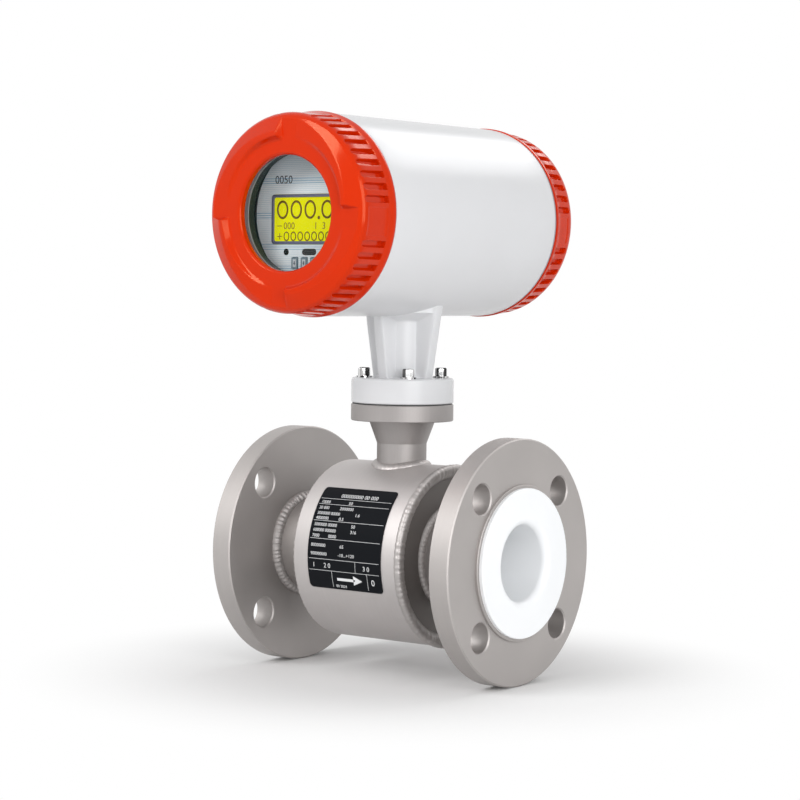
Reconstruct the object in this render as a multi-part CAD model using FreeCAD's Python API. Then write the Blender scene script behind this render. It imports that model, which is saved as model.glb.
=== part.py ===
import FreeCAD, Part
import math
import os

# Electromagnetic flow meter: a lined, flanged measuring tube inside a welded coil housing,
# and a transmitter head with a windowed front cover and a blind rear cover on a ribbed neck.
# Millimetres. The origin is the middle of the measuring tube on the flow axis. +X is the flow
# direction, +Z is up and the display looks along -Y.

os.makedirs("parts", exist_ok=True)

V = FreeCAD.Vector
X = V(1, 0, 0)
Y = V(0, 1, 0)
Z = V(0, 0, 1)

# ---- clearances ----
SEAT = 0.15             # between round faces of pieces that are fixed to each other
MOVE = 0.35             # between pieces that move against each other

# ---- flow tube, flanges and lining ----
BORE_R = 24.0           # bore of the lining
LINING_WALL = 3.0
FLARE_R = 47.0          # sealing face of the lining
FLARE_T = 2.4
ENTRY_R = 5.0           # rounding at the mouth of the lining
TUBE_WALL = 3.0
TUBE_R = BORE_R + LINING_WALL + SEAT + TUBE_WALL      # 2 inch pipe
FLANGE_R = 77.5
FLANGE_T = 14.5
FLANGE_FACE_X = 93.5
RAISED_R = 49.0
RAISED_H = 1.6
FLANGE_PCD = 120.0
FLANGE_HOLE_R = 9.5
FLANGE_HOLES = 4
FLANGE_CHAMFER = 0.8
FLANGE_WELD = 4.2

# ---- coil housing ----
DRUM_R = 57.5
DRUM_WALL = 3.0
DRUM_HALF = 42.0
END_PLATE_T = 3.0
END_RECESS = 3.2
END_WELD = 6.0
TUBE_WELD = 3.0
PLATE_T = 0.6           # nameplate
PLATE_X = (-30.0, 28.0)
PLATE_ANGLES = (-20.5, 47.5)
PLATE_CORNER = 2.5

# ---- coils, magnetic circuit and electrodes ----
COIL_X = 26.0           # half length of a winding
COIL_Y = 21.0
COIL_BAND = 9.0
COIL_ROOM = 6.0         # between a winding and the yoke
COIL_SADDLE = 3.3       # how far a winding reaches down beside the crown of its shoe
CORE_X = 16.0
CORE_Y = 11.0
SHOE_T = 3.0
SHOE_HALF_ANGLE = 42.0
SHOE_X = 30.0
YOKE_T = 2.5
YOKE_HALF = 14.0
COIL_SCREW_R = 2.0
COIL_SCREW_GRIP = 5.0
YOKE_WIRE_R = 4.0
ELECTRODE_R = 2.5
ELECTRODE_HEAD_R = 5.0
ELECTRODE_HEAD_T = 1.2
ELECTRODE_TAIL = 3.0    # stud beyond its nut
BUSH_R = 6.0
BUSH_FLANGE_R = 9.0
BUSH_FLANGE_T = 2.0
BUSH_STEP = 1.0
NUT_AF = 8.0
NUT_T = 4.0

# ---- neck between coil housing and transmitter ----
PIPE_R = 16.0
PIPE_WALL = 3.0
PIPE_H = 12.8
PIPE_TOP = DRUM_R + PIPE_H
PIPE_WELD = 4.2
PIPE_WELD_SKEW = 5.0    # the weld cone starts this far under the crown of the drum
CONE_H = 14.7
CONE_TOP = PIPE_TOP + CONE_H
CONE_TOP_R = 21.4
DISC_R = 33.0
DISC_T = 10.7
DISC_TOP = CONE_TOP + DISC_T
NECK_BORE_R = 9.0
NECK_GASKET_T = 0.8
NECK_PCD = 50.0
NECK_SCREW_R = 2.5
NECK_HOLE_R = 2.9
SCREW_HEAD_R = 3.8
SCREW_HEAD_H = 5.4
SCREW_SOCKET_AF = 4.0
SCREW_SOCKET_H = 2.6
SCREW_DEPTH = 7.0
WASHER_R = 5.0
WASHER_T = 1.0
BASE_T = 16.1
BASE_EDGE = 2.2
BASE_Z = DISC_TOP + NECK_GASKET_T
BASE_TOP = BASE_Z + BASE_T

# ---- transmitter housing ----
CASE_R = 62.3
CASE_LAND = 5.8         # end face of the case outside its thread
THREAD_SHOULDER = 5.0
CASE_FRONT = -90.4
CASE_BACK = 81.5
WALL_Y = (10.0, 16.0)   # partition between electronics and terminals
THREAD_R = CASE_R - CASE_LAND
CASE_BORE_R = THREAD_R - THREAD_SHOULDER
THREAD_DEPTH = 16.0
COLUMN_R = 14.0
COLUMN_FOOT = 5.0
COLUMN_FOOT_H = 4.0
RIB_W = 8.5
RIB_FOOT = 21.5
RIB_TOP = 28.0
RIB_EDGE = 2.4
NECK_H = 39.4
NECK_TOP = BASE_TOP + NECK_H
WEB_DROP = 4.5          # the webs between the ribs start this far under the case
WEB_RISE = 2.5          # and reach the ends of the ribs this far above its crown
AXIS_Z = NECK_TOP + CASE_R
WIRE_HOLE_R = 7.0
WIRE_HOLE_RISE = 30.0

# ---- covers ----
GASKET_T = 1.2
RIM_PROUD = 0.55        # cover rim beyond the case
RIM_R = CASE_R + RIM_PROUD
GASKET_SHY = 0.85       # gasket inside the cover rim
GASKET_R = RIM_R - GASKET_SHY
COVER_BORE_STEP = 6.5   # wall of a cover spigot at its thread
RIM_T = 3.2
SPIGOT_L = 13.0
FRONT_DEPTH = 29.0
FRONT_SIDE = ((0.0, 2.2), (0.5, 3.2), (1.2, 6.0), (1.7, 16.0), (2.1, 24.0), (2.9, 26.4), (4.6, 28.4))
FACE_SHY = 6.2          # flat face inside the rim
FRONT_WALL = 4.5
FRONT_INNER_R = THREAD_R - COVER_BORE_STEP
CUP_R = FRONT_INNER_R - 5.5
FACEPLATE_R = CUP_R - 2.3
WINDOW_R = FACEPLATE_R - 7.2
WINDOW_CHAMFER = 1.3
FACE_RING_R = WINDOW_R + 9.3      # flat ring round the window
VANE_START = 10.0       # a vane begins this many degrees clockwise of a quarter line
VANE_END = 5.0          # and ends this many degrees short of the next one
STEP_RAMP = 2.5
VANE_WALL = 2.1         # slope of the inner wall of a vane
VANE_RISE = 4.4         # height of a vane at its step
VANE_CREST = 4.9        # outer crest at the step, outside the foot of the inner wall
VANE_SPREAD = 7.4
VANE_OUTER = 5.1        # outer foot inside the rim
VANE_STATIONS = 7
GRIP_COUNT = 10
GRIP_PAD_ANGLE = 18.0
GRIP_PAD_SHIFT = 5.0
GRIP_FLOOR = 4.3        # groove floor inside the rim
GRIP_W = 4.0
FRONT_GRIP = (5.6, 26.0)
REAR_DEPTH = 23.5
REAR_GRIP = (3.4, 17.6)
REAR_SIDE = ((0.0, 2.2), (0.5, 3.0), (1.1, 5.0), (1.6, 14.0), (2.0, 19.0), (2.8, 21.0), (4.4, 22.8))
REAR_FACE_SHY = 6.0
REAR_INNER_R = THREAD_R - COVER_BORE_STEP
REAR_COVE = 4.0
REAR_WALL = 6.0

# ---- window glass and its ring ----
GLASS_R = WINDOW_R + 6.4
GLASS_T = 5.0
GLASS_GASKET_T = 1.0
RETAINER_R = GLASS_R + 3.5
RETAINER_IN_R = WINDOW_R + 1.9
RETAINER_T = 5.0
RETAINER_SLOTS = 4
RETAINER_SLOT_W = 3.0
RETAINER_SLOT_T = 2.0

# ---- display ----
FACEPLATE_Y = CASE_FRONT - 6.1
FACEPLATE_T = 1.2
LCD_HALF_X = FACEPLATE_R - 12.2
LCD_HALF_Z = 15.3
LCD_DROP = 3.0
LCD_T = 4.5
LCD_CORNER = 2.0
LCD_BEZEL = 0.9
BEZEL_PROUD = 0.3
KEY_DROP = FACEPLATE_R - 12.4
KEY_PITCH = 7.4
KEY_COUNT = 4
KEY_W = 4.7
KEY_H = 6.9
KEY_PROUD = 0.6
KEY_TRAVEL = 0.8
KEY_STEM = 3.0          # of a key behind the faceplate
KEY_COLLAR = 0.9
KEY_COLLAR_T = 1.2
KEY_CORNER = 0.6
SWITCH_HALF = 3.0
LENS_DROP = KEY_DROP - 6.8
DOT_X = -18.2
DOT_R = 2.0
SLOT_HALF = 5.5
SLOT_HALF_H = 1.9
BOARD_T = 1.6
BOARD_R = CASE_BORE_R - 5.5
DISPLAY_BOARD_Y = FACEPLATE_Y + 9.5
MAIN_BOARD_Y = -52.0
POWER_BOARD_Y = -18.0
SPACER_R = 3.0
SPACER_HOLE_R = 1.5
SPACER_RADIUS = BOARD_R - 8.0
SPACER_ANGLES = (35.0, 145.0, 270.0)
CUP_WALL = 2.0
CUP_LIP = 0.6
TRANSFORMER = (32.0, 26.0, 22.0)     # width, height and depth from the board
TRANSFORMER_AT = (-2.0, -9.0)
BOBBIN_MARGIN = 5.0
BOBBIN_T = 3.0
CAPACITOR_R = 6.0
CAPACITOR_H = 18.0
CAPACITORS_AT = ((24.0, -8.0), (10.0, 16.0))
CHIPS = ((16.0, 16.0, 2.0), (12.0, 8.0, 1.6), (8.0, 6.0, 1.6))
CHIPS_AT = ((-14.0, 0.0), (12.0, 0.0), (8.0, 17.0))
HEADER = (30.0, 5.0, 8.0)
HEADER_AT = (0.0, -27.5)

# ---- terminals and cable entries ----
BLOCK_X = 32.0
BLOCK_Z = (-17.0, 3.0)
BLOCK_T = 16.0
BLOCK_STEP = (6.0, 7.0)              # depth and height of the step for the wires
TERMINALS = 8
TERMINAL_SCREW_R = 2.2
TERMINAL_SCREW_T = 3.0
TERMINAL_SCREW_DROP = 6.0
TERMINAL_SLOT_W = 0.8
TERMINAL_MOUTH = (4.4, 5.0, 9.0)     # width, height and depth of a wire mouth
TERMINAL_WELL = 5.0
GLAND_Y = (33.0, 65.0)
GLAND_BOSS_R = 15.0
GLAND_BOSS_H = 5.7
GLAND_FACE_X = -CASE_R - GLAND_BOSS_H
GLAND_THREAD_R = 9.8
GLAND_BORE_R = 7.0
GLAND_AF = 24.0
GLAND_HEX_T = 5.0
GLAND_BODY_L = 10.0
GLAND_NUT_L = 19.0
GLAND_SEAL_IN_R = 3.5
GLAND_DOME = 6.0
GLAND_DOME_WALL = 4.0
GLAND_DOME_LIP = 2.5
GLAND_NUT_HOLE_R = 5.5
GLAND_TAIL = 10.0


def along(axis, r, a, b, c1=0.0, c2=0.0):
    """Cylinder of radius r along an axis from a to b, centred on the two other coordinates."""
    start = {"x": V(a, c1, c2), "y": V(c1, a, c2), "z": V(c1, c2, a)}[axis]
    return Part.makeCylinder(r, b - a, start, {"x": X, "y": Y, "z": Z}[axis])


def tube(axis, r_out, r_in, a, b, c1=0.0, c2=0.0):
    """Ring or tube along an axis."""
    return along(axis, r_out, a, b, c1, c2).cut(along(axis, r_in, a - 1, b + 1, c1, c2))


def box(x0, x1, y0, y1, z0, z1):
    """Box between two corners."""
    return Part.makeBox(x1 - x0, y1 - y0, z1 - z0, V(x0, y0, z0))


def lathe(points, axis):
    """Solid turned about the x or z axis, from a closed outline of (along, radius) points."""
    place = {"x": lambda a, r: V(a, 0, r), "z": lambda a, r: V(r, 0, a)}[axis]
    wire = Part.makePolygon([place(a, r) for a, r in points + points[:1]])
    return Part.Face(wire).revolve(V(0, 0, 0), {"x": X, "z": Z}[axis], 360)


def cap(points):
    """Solid turned about the local z axis, from (radius, height) points."""
    return lathe([(height, radius) for radius, height in points], "z")


def hexagon(axis, across, a, b, c1=0.0, c2=0.0):
    """Hexagonal prism along an axis."""
    r = across / math.sqrt(3)
    ring = [(r * math.cos(math.radians(60 * i)), r * math.sin(math.radians(60 * i))) for i in range(7)]
    place = {"x": lambda u, v: V(a, c1 + u, c2 + v), "z": lambda u, v: V(c1 + u, c2 + v, a)}[axis]
    face = Part.Face(Part.makePolygon([place(u, v) for u, v in ring]))
    return face.extrude({"x": X, "z": Z}[axis] * (b - a))


def union(shapes):
    """All shapes fused into one clean solid."""
    return shapes[0].multiFuse(shapes[1:]).removeSplitter()


def on_circle(shape, angles, centre, axis):
    """Copies of a shape turned about an axis."""
    copies = []
    for angle in angles:
        copy = shape.copy()
        copy.rotate(centre, axis, angle)
        copies.append(copy)
    return copies


def mirrored(shape):
    """The shape and its mirror image across the middle plane of the flow tube."""
    return [shape, shape.mirror(V(0, 0, 0), X)]


def rounded_slab(half_x, half_z, radius, y0, y1, z):
    """Rounded rectangle in the XZ plane, y0 to y1 thick, centred at height z."""
    slab = box(-half_x, half_x, y0, y1, z - half_z, z + half_z)
    upright = [e for e in slab.Edges if abs(e.tangentAt(e.FirstParameter).y) > 0.9]
    return slab.makeFillet(radius, upright)


# ---------------------------------------------------------------- flow tube
TUBE_IN_R = TUBE_R - TUBE_WALL
RAISED_X = FLANGE_FACE_X + RAISED_H
FACE_X = RAISED_X + FLARE_T
FLANGE_BACK_X = FLANGE_FACE_X - FLANGE_T


def measuring_tube():
    shape = tube("x", TUBE_R, TUBE_IN_R, -RAISED_X, RAISED_X)
    return shape.cut(along("y", BUSH_R + SEAT, -2 * TUBE_R, 2 * TUBE_R))


def lining():
    outer_r = BORE_R + LINING_WALL
    core = along("x", outer_r, -RAISED_X, RAISED_X)
    faces = mirrored(along("x", FLARE_R, RAISED_X, FACE_X))
    body = union([core] + faces)
    rims = [e for e in body.Edges if abs(abs(e.BoundBox.XMin) - FACE_X) < 1e-3]
    body = body.makeFillet(0.8, rims)
    steps = 8
    arc = [math.radians(90.0 * i / steps) for i in range(steps + 1)]
    mouth = [(FACE_X - ENTRY_R + ENTRY_R * math.sin(t), BORE_R + ENTRY_R * (1 - math.cos(t))) for t in arc]
    outline = [(0, 0), (0, BORE_R)] + mouth + [(FACE_X + 1, BORE_R + ENTRY_R), (FACE_X + 1, 0)]
    half = lathe(outline, "x")
    body = body.cut(union(mirrored(half))).cut(along("y", ELECTRODE_R + SEAT, -outer_r - 1, outer_r + 1))
    seat = BORE_R + ELECTRODE_HEAD_T + SEAT
    return body.cut(along("y", ELECTRODE_HEAD_R + SEAT, -seat, seat))


def flange():
    """Outlet flange: plate with a raised sealing face, chamfered rim and four bolt holes."""
    c = FLANGE_CHAMFER
    inner = TUBE_R + SEAT
    outline = [(FLANGE_BACK_X, inner), (FLANGE_BACK_X, FLANGE_R - c), (FLANGE_BACK_X + c, FLANGE_R),
               (FLANGE_FACE_X - c, FLANGE_R), (FLANGE_FACE_X, FLANGE_R - c),
               (FLANGE_FACE_X, RAISED_R), (RAISED_X - 0.3, RAISED_R), (RAISED_X, RAISED_R - 0.3),
               (RAISED_X, inner)]
    plate = lathe(outline, "x")
    r = FLANGE_HOLE_R
    drill = lathe([(FLANGE_BACK_X - 1, 0), (FLANGE_BACK_X - 1, r + c + 1), (FLANGE_BACK_X + c, r),
                   (FLANGE_FACE_X - c, r), (FLANGE_FACE_X + 1, r + c + 1), (FLANGE_FACE_X + 1, 0)], "x")
    drill.translate(V(0, 0, FLANGE_PCD / 2))
    angles = [360.0 / FLANGE_HOLES * (i + 0.5) for i in range(FLANGE_HOLES)]
    return plate.cut(Part.makeCompound(on_circle(drill, angles, V(0, 0, 0), X)))


def ring_bead(x, r, legs, inward=False):
    """Weld fillet round the flow axis in the corner at (x, r), with a bulging face."""
    side = -1 if inward else 1
    steps = 5
    points = [(x, r)]
    for i in range(steps + 1):
        t = math.radians(90.0 * i / steps)
        points.append((x + legs[0] * math.cos(t) ** 1.4, r + side * legs[1] * math.sin(t) ** 1.4))
    return lathe(points, "x")


def flange_welds():
    """Fillet weld behind each flange."""
    return mirrored(ring_bead(FLANGE_BACK_X - 0.02, TUBE_R + 0.02, (-FLANGE_WELD, FLANGE_WELD)))


# ---------------------------------------------------------------- coil housing
DRUM_IN_R = DRUM_R - DRUM_WALL
PLATE_OUT_X = DRUM_HALF - END_RECESS
SHOE_R = TUBE_R + SEAT + SHOE_T
YOKE_IN_R = DRUM_IN_R - YOKE_T
COIL_Z = (SHOE_R - COIL_SADDLE, YOKE_IN_R - COIL_ROOM)


def coil_housing():
    shell = tube("x", DRUM_R, DRUM_IN_R, -DRUM_HALF, DRUM_HALF)
    return shell.cut(along("z", PIPE_R - PIPE_WALL, 0, 2 * DRUM_R))


def end_plate():
    return tube("x", DRUM_IN_R - SEAT, TUBE_R + SEAT, PLATE_OUT_X - END_PLATE_T, PLATE_OUT_X)


def end_welds():
    """Welds that close both ends of the coil housing, at the shell and at the tube."""
    outer = ring_bead(PLATE_OUT_X + 0.02, DRUM_IN_R - 0.02, (END_RECESS + 0.6, END_WELD), inward=True)
    inner = ring_bead(PLATE_OUT_X + 0.02, TUBE_R + 0.02, (TUBE_WELD, TUBE_WELD))
    return mirrored(outer) + mirrored(inner)


def nameplate():
    """Thin label plate bent round the front of the coil housing."""
    inner = DRUM_R + 0.02
    span = PLATE_ANGLES[1] - PLATE_ANGLES[0]
    middle = math.radians((PLATE_ANGLES[0] + PLATE_ANGLES[1]) / 2)
    sheet = tube("x", inner + PLATE_T, inner, PLATE_X[0], PLATE_X[1])
    half_chord = inner * math.sin(math.radians(span / 2))
    window = box(PLATE_X[0], PLATE_X[1], -2 * DRUM_R, -DRUM_R / 2, -half_chord, half_chord)
    corners = [e for e in window.Edges if abs(e.tangentAt(e.FirstParameter).y) > 0.9]
    window = window.makeFillet(PLATE_CORNER, corners)
    window.rotate(V(0, 0, 0), X, -math.degrees(middle))
    return sheet.common(window)


# ---------------------------------------------------------------- inside the coil housing
def pole_shoe():
    """Curved pole shoe on the tube with the core that carries the winding."""
    ring = tube("x", SHOE_R, SHOE_R - SHOE_T, -SHOE_X, SHOE_X)
    reach = SHOE_R * math.sin(math.radians(SHOE_HALF_ANGLE))
    shoe = ring.common(box(-SHOE_X, SHOE_X, -reach, reach, 0, 2 * SHOE_R))
    core = box(-CORE_X, CORE_X, -CORE_Y, CORE_Y, SHOE_R - SHOE_T / 2, YOKE_IN_R - SEAT)
    core = core.cut(along("x", SHOE_R - SHOE_T, -CORE_X - 1, CORE_X + 1))
    screw = along("z", COIL_SCREW_R + SEAT, YOKE_IN_R - COIL_SCREW_GRIP - 1, DRUM_IN_R)
    trim = along("x", YOKE_IN_R - SEAT, -SHOE_X, SHOE_X)
    return union([shoe, core]).cut(screw).common(trim)


def coil():
    """Copper winding, a rounded frame round the core, over the pole shoe."""
    outer = box(-COIL_X, COIL_X, -COIL_Y, COIL_Y, COIL_Z[0], COIL_Z[1])
    upright = [e for e in outer.Edges if abs(e.tangentAt(e.FirstParameter).z) > 0.9]
    outer = outer.makeFillet(COIL_BAND * 0.66, upright)
    gap_x = max(COIL_X - COIL_BAND, CORE_X + SEAT)
    gap_y = max(COIL_Y - COIL_BAND, CORE_Y + SEAT)
    frame = outer.cut(box(-gap_x, gap_x, -gap_y, gap_y, 0, COIL_Z[1] + 1))
    return frame.cut(along("x", SHOE_R + SEAT, -COIL_X - 1, COIL_X + 1))


def yoke():
    """Soft iron band inside the shell that closes the magnetic circuit."""
    band = tube("x", DRUM_IN_R - SEAT, YOKE_IN_R, -YOKE_HALF, YOKE_HALF)
    wires = along("z", YOKE_WIRE_R, 0, 2 * DRUM_R, YOKE_HALF - YOKE_WIRE_R - 1, 0)
    screws = along("z", COIL_SCREW_R + SEAT, -2 * DRUM_R, 2 * DRUM_R)
    return band.cut(wires).cut(screws)


def coil_screws():
    """One screw through the yoke into each core."""
    shank = along("z", COIL_SCREW_R, YOKE_IN_R - COIL_SCREW_GRIP, DRUM_IN_R - 4 * SEAT)
    return [shank, shank.mirror(V(0, 0, 0), Z)]


def electrode():
    """Measuring electrode at the front: flush head in the lining, stud through lining and tube."""
    top = -BORE_R
    stud = along("y", ELECTRODE_R, -TUBE_R - BUSH_FLANGE_T - NUT_T - ELECTRODE_TAIL, top - ELECTRODE_HEAD_T / 2)
    head = along("y", ELECTRODE_HEAD_R, top - ELECTRODE_HEAD_T, top)
    edge = [e for e in head.Edges if abs(e.BoundBox.YMax - top) < 1e-3]
    head = head.makeFillet(ELECTRODE_HEAD_T * 0.8, edge)
    return union([stud, head])


def electrode_bush():
    """Insulating bush between the electrode and the steel tube."""
    foot = BORE_R + LINING_WALL + 2 * SEAT
    top = TUBE_R + SEAT
    body = along("y", BUSH_R, -top - BUSH_FLANGE_T, -foot)
    collar = along("y", BUSH_FLANGE_R, -top - BUSH_FLANGE_T - BUSH_STEP, -top - BUSH_STEP)
    hole = along("y", ELECTRODE_R + SEAT, -2 * top, 0)
    lining_room = along("x", BORE_R + LINING_WALL + SEAT, -2 * BUSH_R, 2 * BUSH_R)
    return union([body, collar]).cut(hole).cut(lining_room)


def electrode_nuts():
    """Nut on each electrode stud."""
    seat = TUBE_R + SEAT + BUSH_FLANGE_T + BUSH_STEP
    nut = hexagon("z", NUT_AF, seat, seat + NUT_T).cut(along("z", ELECTRODE_R + SEAT, seat - 1, seat + NUT_T + 1))
    nut.rotate(V(0, 0, 0), X, 90)
    return [nut, nut.mirror(V(0, 0, 0), Y)]


# ---------------------------------------------------------------- sensor neck
def neck_pipe():
    pipe = tube("z", PIPE_R, PIPE_R - PIPE_WALL, DRUM_R / 2, PIPE_TOP)
    return pipe.cut(along("x", DRUM_R + 0.02, -2 * PIPE_R, 2 * PIPE_R))


def neck_weld():
    """Bead where the neck pipe meets the coil housing."""
    rise = PIPE_WELD + PIPE_WELD_SKEW
    bead = Part.makeCone(PIPE_R + rise, PIPE_R + 2 * SEAT, rise, V(0, 0, DRUM_R - PIPE_WELD_SKEW), Z)
    bead = bead.cut(along("x", DRUM_R + 0.03, -3 * PIPE_R, 3 * PIPE_R))
    return bead.cut(along("z", PIPE_R + 0.02, 0, 2 * DRUM_R))


def neck_flange():
    """Turned cone and disc that the transmitter is screwed to."""
    inner = PIPE_R - PIPE_WALL
    c = 0.5
    body = lathe([(PIPE_TOP, inner), (PIPE_TOP, PIPE_R), (CONE_TOP, CONE_TOP_R), (CONE_TOP, DISC_R - c),
                  (CONE_TOP + c, DISC_R), (DISC_TOP - c, DISC_R), (DISC_TOP, DISC_R - c),
                  (DISC_TOP, inner)], "z")
    tap = along("z", NECK_SCREW_R + SEAT, BASE_Z - SCREW_DEPTH - 1, DISC_TOP + 1, NECK_PCD / 2, 0)
    return body.cut(Part.makeCompound(on_circle(tap, (45, 135, 225, 315), V(0, 0, 0), Z)))


def neck_gasket():
    ring = tube("z", DISC_R - 0.8, PIPE_R - PIPE_WALL, DISC_TOP, BASE_Z)
    hole = along("z", NECK_HOLE_R, DISC_TOP - 1, BASE_Z + 1, NECK_PCD / 2, 0)
    return ring.cut(Part.makeCompound(on_circle(hole, (45, 135, 225, 315), V(0, 0, 0), Z)))


def neck_washers():
    ring = tube("z", WASHER_R, NECK_HOLE_R, BASE_TOP, BASE_TOP + WASHER_T, NECK_PCD / 2, 0)
    return on_circle(ring, (45, 135, 225, 315), V(0, 0, 0), Z)


def neck_screws():
    """Four socket head screws with their shanks in the steel disc."""
    seat = BASE_TOP + WASHER_T
    x = NECK_PCD / 2
    head = along("z", SCREW_HEAD_R, seat, seat + SCREW_HEAD_H, x, 0)
    top = [e for e in head.Edges if abs(e.BoundBox.ZMin - seat - SCREW_HEAD_H) < 1e-3]
    head = head.makeChamfer(0.5, top)
    top_z = seat + SCREW_HEAD_H
    socket = hexagon("z", SCREW_SOCKET_AF, top_z - SCREW_SOCKET_H, top_z + 1, x, 0)
    shank = along("z", NECK_SCREW_R, BASE_Z - SCREW_DEPTH, seat, x, 0)
    return on_circle(union([head, shank]).cut(socket), (45, 135, 225, 315), V(0, 0, 0), Z)


# ---------------------------------------------------------------- transmitter housing
def neck_rib(angle):
    """Tapered rib that leans outwards on the round column and ends inside the case."""
    top = AXIS_Z - CASE_R / 2
    lean = (RIB_TOP - RIB_FOOT) / NECK_H
    reach = RIB_TOP + lean * (top - NECK_TOP)
    outline = [V(0, 0, BASE_TOP - 1), V(RIB_FOOT - lean, 0, BASE_TOP - 1), V(reach, 0, top), V(0, 0, top)]
    rib = Part.Face(Part.makePolygon(outline + outline[:1])).extrude(V(0, RIB_W, 0))
    rib.translate(V(0, -RIB_W / 2, 0))
    outer = [e for e in rib.Edges if e.BoundBox.XMin > RIB_FOOT - lean - 0.1 and e.BoundBox.ZLength > NECK_H / 2]
    rib = rib.makeFillet(RIB_EDGE, outer)
    rib.rotate(V(0, 0, 0), Z, angle)
    return rib


def web_outline(reach, z):
    """Eight-sided wire that joins the ends of the four ribs at height z."""
    w = RIB_W / 2 - RIB_EDGE / 2
    corners = [(reach, -w), (reach, w), (w, reach), (-w, reach), (-reach, w), (-reach, -w), (-w, -reach), (w, -reach)]
    points = [V(x, y, z) for x, y in corners]
    return Part.makePolygon(points + points[:1])


def neck_casting():
    """Ribbed column on its round base, with sloped webs between the ribs under the case."""
    base = along("z", DISC_R, BASE_Z, BASE_TOP)
    top = [e for e in base.Edges if abs(e.BoundBox.ZMin - BASE_TOP) < 1e-3]
    base = base.makeFillet(BASE_EDGE, top)
    column = along("z", COLUMN_R, BASE_TOP - 1, AXIS_Z - CASE_BORE_R)
    foot = Part.makeCone(COLUMN_R + COLUMN_FOOT, COLUMN_R, COLUMN_FOOT_H, V(0, 0, BASE_TOP - 1), Z)
    low = web_outline(COLUMN_R - 1, NECK_TOP - WEB_DROP)
    high = web_outline(RIB_TOP, NECK_TOP + WEB_RISE)
    webs = Part.makeLoft([low, high], True, True)
    block = Part.Face(high).extrude(V(0, 0, CASE_R / 2 - WEB_RISE))
    ribs = [neck_rib(90 * i) for i in range(4)]
    return union([base, column, foot, webs, block] + ribs)


def transmitter_housing():
    case = along("y", CASE_R, CASE_FRONT, CASE_BACK, 0, AXIS_Z)
    bosses = [along("x", GLAND_BOSS_R, GLAND_FACE_X, -CASE_BORE_R, y, AXIS_Z) for y in GLAND_Y]
    solid = union([case, neck_casting()] + bosses)
    cuts = [along("y", CASE_BORE_R, CASE_FRONT - 1, WALL_Y[0], 0, AXIS_Z),
            along("y", CASE_BORE_R, WALL_Y[1], CASE_BACK + 1, 0, AXIS_Z),
            along("y", THREAD_R, CASE_FRONT - 1, CASE_FRONT + THREAD_DEPTH, 0, AXIS_Z),
            along("y", THREAD_R, CASE_BACK - THREAD_DEPTH, CASE_BACK + 1, 0, AXIS_Z),
            along("z", NECK_BORE_R, BASE_Z - 1, AXIS_Z),
            along("y", WIRE_HOLE_R, WALL_Y[0] - 1, WALL_Y[1] + 1, 0, AXIS_Z + WIRE_HOLE_RISE)]
    cuts += [along("x", GLAND_THREAD_R + SEAT, GLAND_FACE_X - 1, -CASE_BORE_R / 2, y, AXIS_Z) for y in GLAND_Y]
    hole = along("z", NECK_HOLE_R, BASE_Z - 1, BASE_TOP + 1, NECK_PCD / 2, 0)
    cuts += on_circle(hole, (45, 135, 225, 315), V(0, 0, 0), Z)
    return solid.cut(cuts)


# ---------------------------------------------------------------- covers
def facing_front(shape):
    """From a cover's own frame, +z outwards from the gasket, to the front of the case."""
    shape.rotate(V(0, 0, 0), X, 90)
    shape.translate(V(0, CASE_FRONT - GASKET_T, AXIS_Z))
    return shape


def facing_back(shape):
    """From a cover's own frame to the back of the case."""
    shape.rotate(V(0, 0, 0), X, -90)
    shape.translate(V(0, CASE_BACK + GASKET_T, AXIS_Z))
    return shape


def grip_cuts(low, high, shift):
    """Axial grooves round the rim in four groups, with smooth pads between the groups."""
    floor = RIM_R - GRIP_FLOOR
    round_end = along("x", GRIP_W / 2, floor, RIM_R + 5, 0, high - GRIP_W / 2)
    groove = union([box(floor, RIM_R + 5, -GRIP_W / 2, GRIP_W / 2, low, high - GRIP_W / 2), round_end])
    step = (90 - GRIP_PAD_ANGLE) / GRIP_COUNT
    first = GRIP_PAD_ANGLE / 2 + step / 2 - shift
    angles = [90 * quarter + first + step * i for quarter in range(4) for i in range(GRIP_COUNT)]
    return on_circle(groove, angles, V(0, 0, 0), Z)


def side_outline(side):
    """Outer side of a cover from its rim to its face: steps inside the rim and heights."""
    return [(RIM_R, 0)] + [(RIM_R - inside, height) for inside, height in side]


def vane_section(t, angle):
    """Section of a raised vane: t runs from 0 where it leaves the face to 1 at its step."""
    d = FRONT_DEPTH
    crest = FACE_RING_R + VANE_CREST + VANE_SPREAD * (1 - t) ** 1.5
    outer = RIM_R - VANE_OUTER
    top = d + 0.02 + VANE_RISE * t
    profile = [(FACE_RING_R, d - 1), (FACE_RING_R, d + 0.01), (FACE_RING_R + VANE_WALL, top),
               (crest, d + 0.02 + 0.9 * VANE_RISE * t), (outer, d - 0.5), (outer - 1, d - 2)]
    c = math.cos(math.radians(angle))
    s = math.sin(math.radians(angle))
    return Part.makePolygon([V(r * c, r * s, h) for r, h in profile + profile[:1]])


def vane(quarter_line):
    """One vane, rising clockwise from just past a quarter line up to the next step."""
    first = quarter_line - VANE_START
    last = quarter_line - 90 + VANE_END
    count = VANE_STATIONS - 1
    slope = [vane_section(i / count, first + (last - first) * i / count) for i in range(VANE_STATIONS)]
    ramp = [slope[-1], vane_section(0, last - STEP_RAMP)]
    return [Part.makeLoft(slope, True, True), Part.makeLoft(ramp, True, True)]


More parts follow.
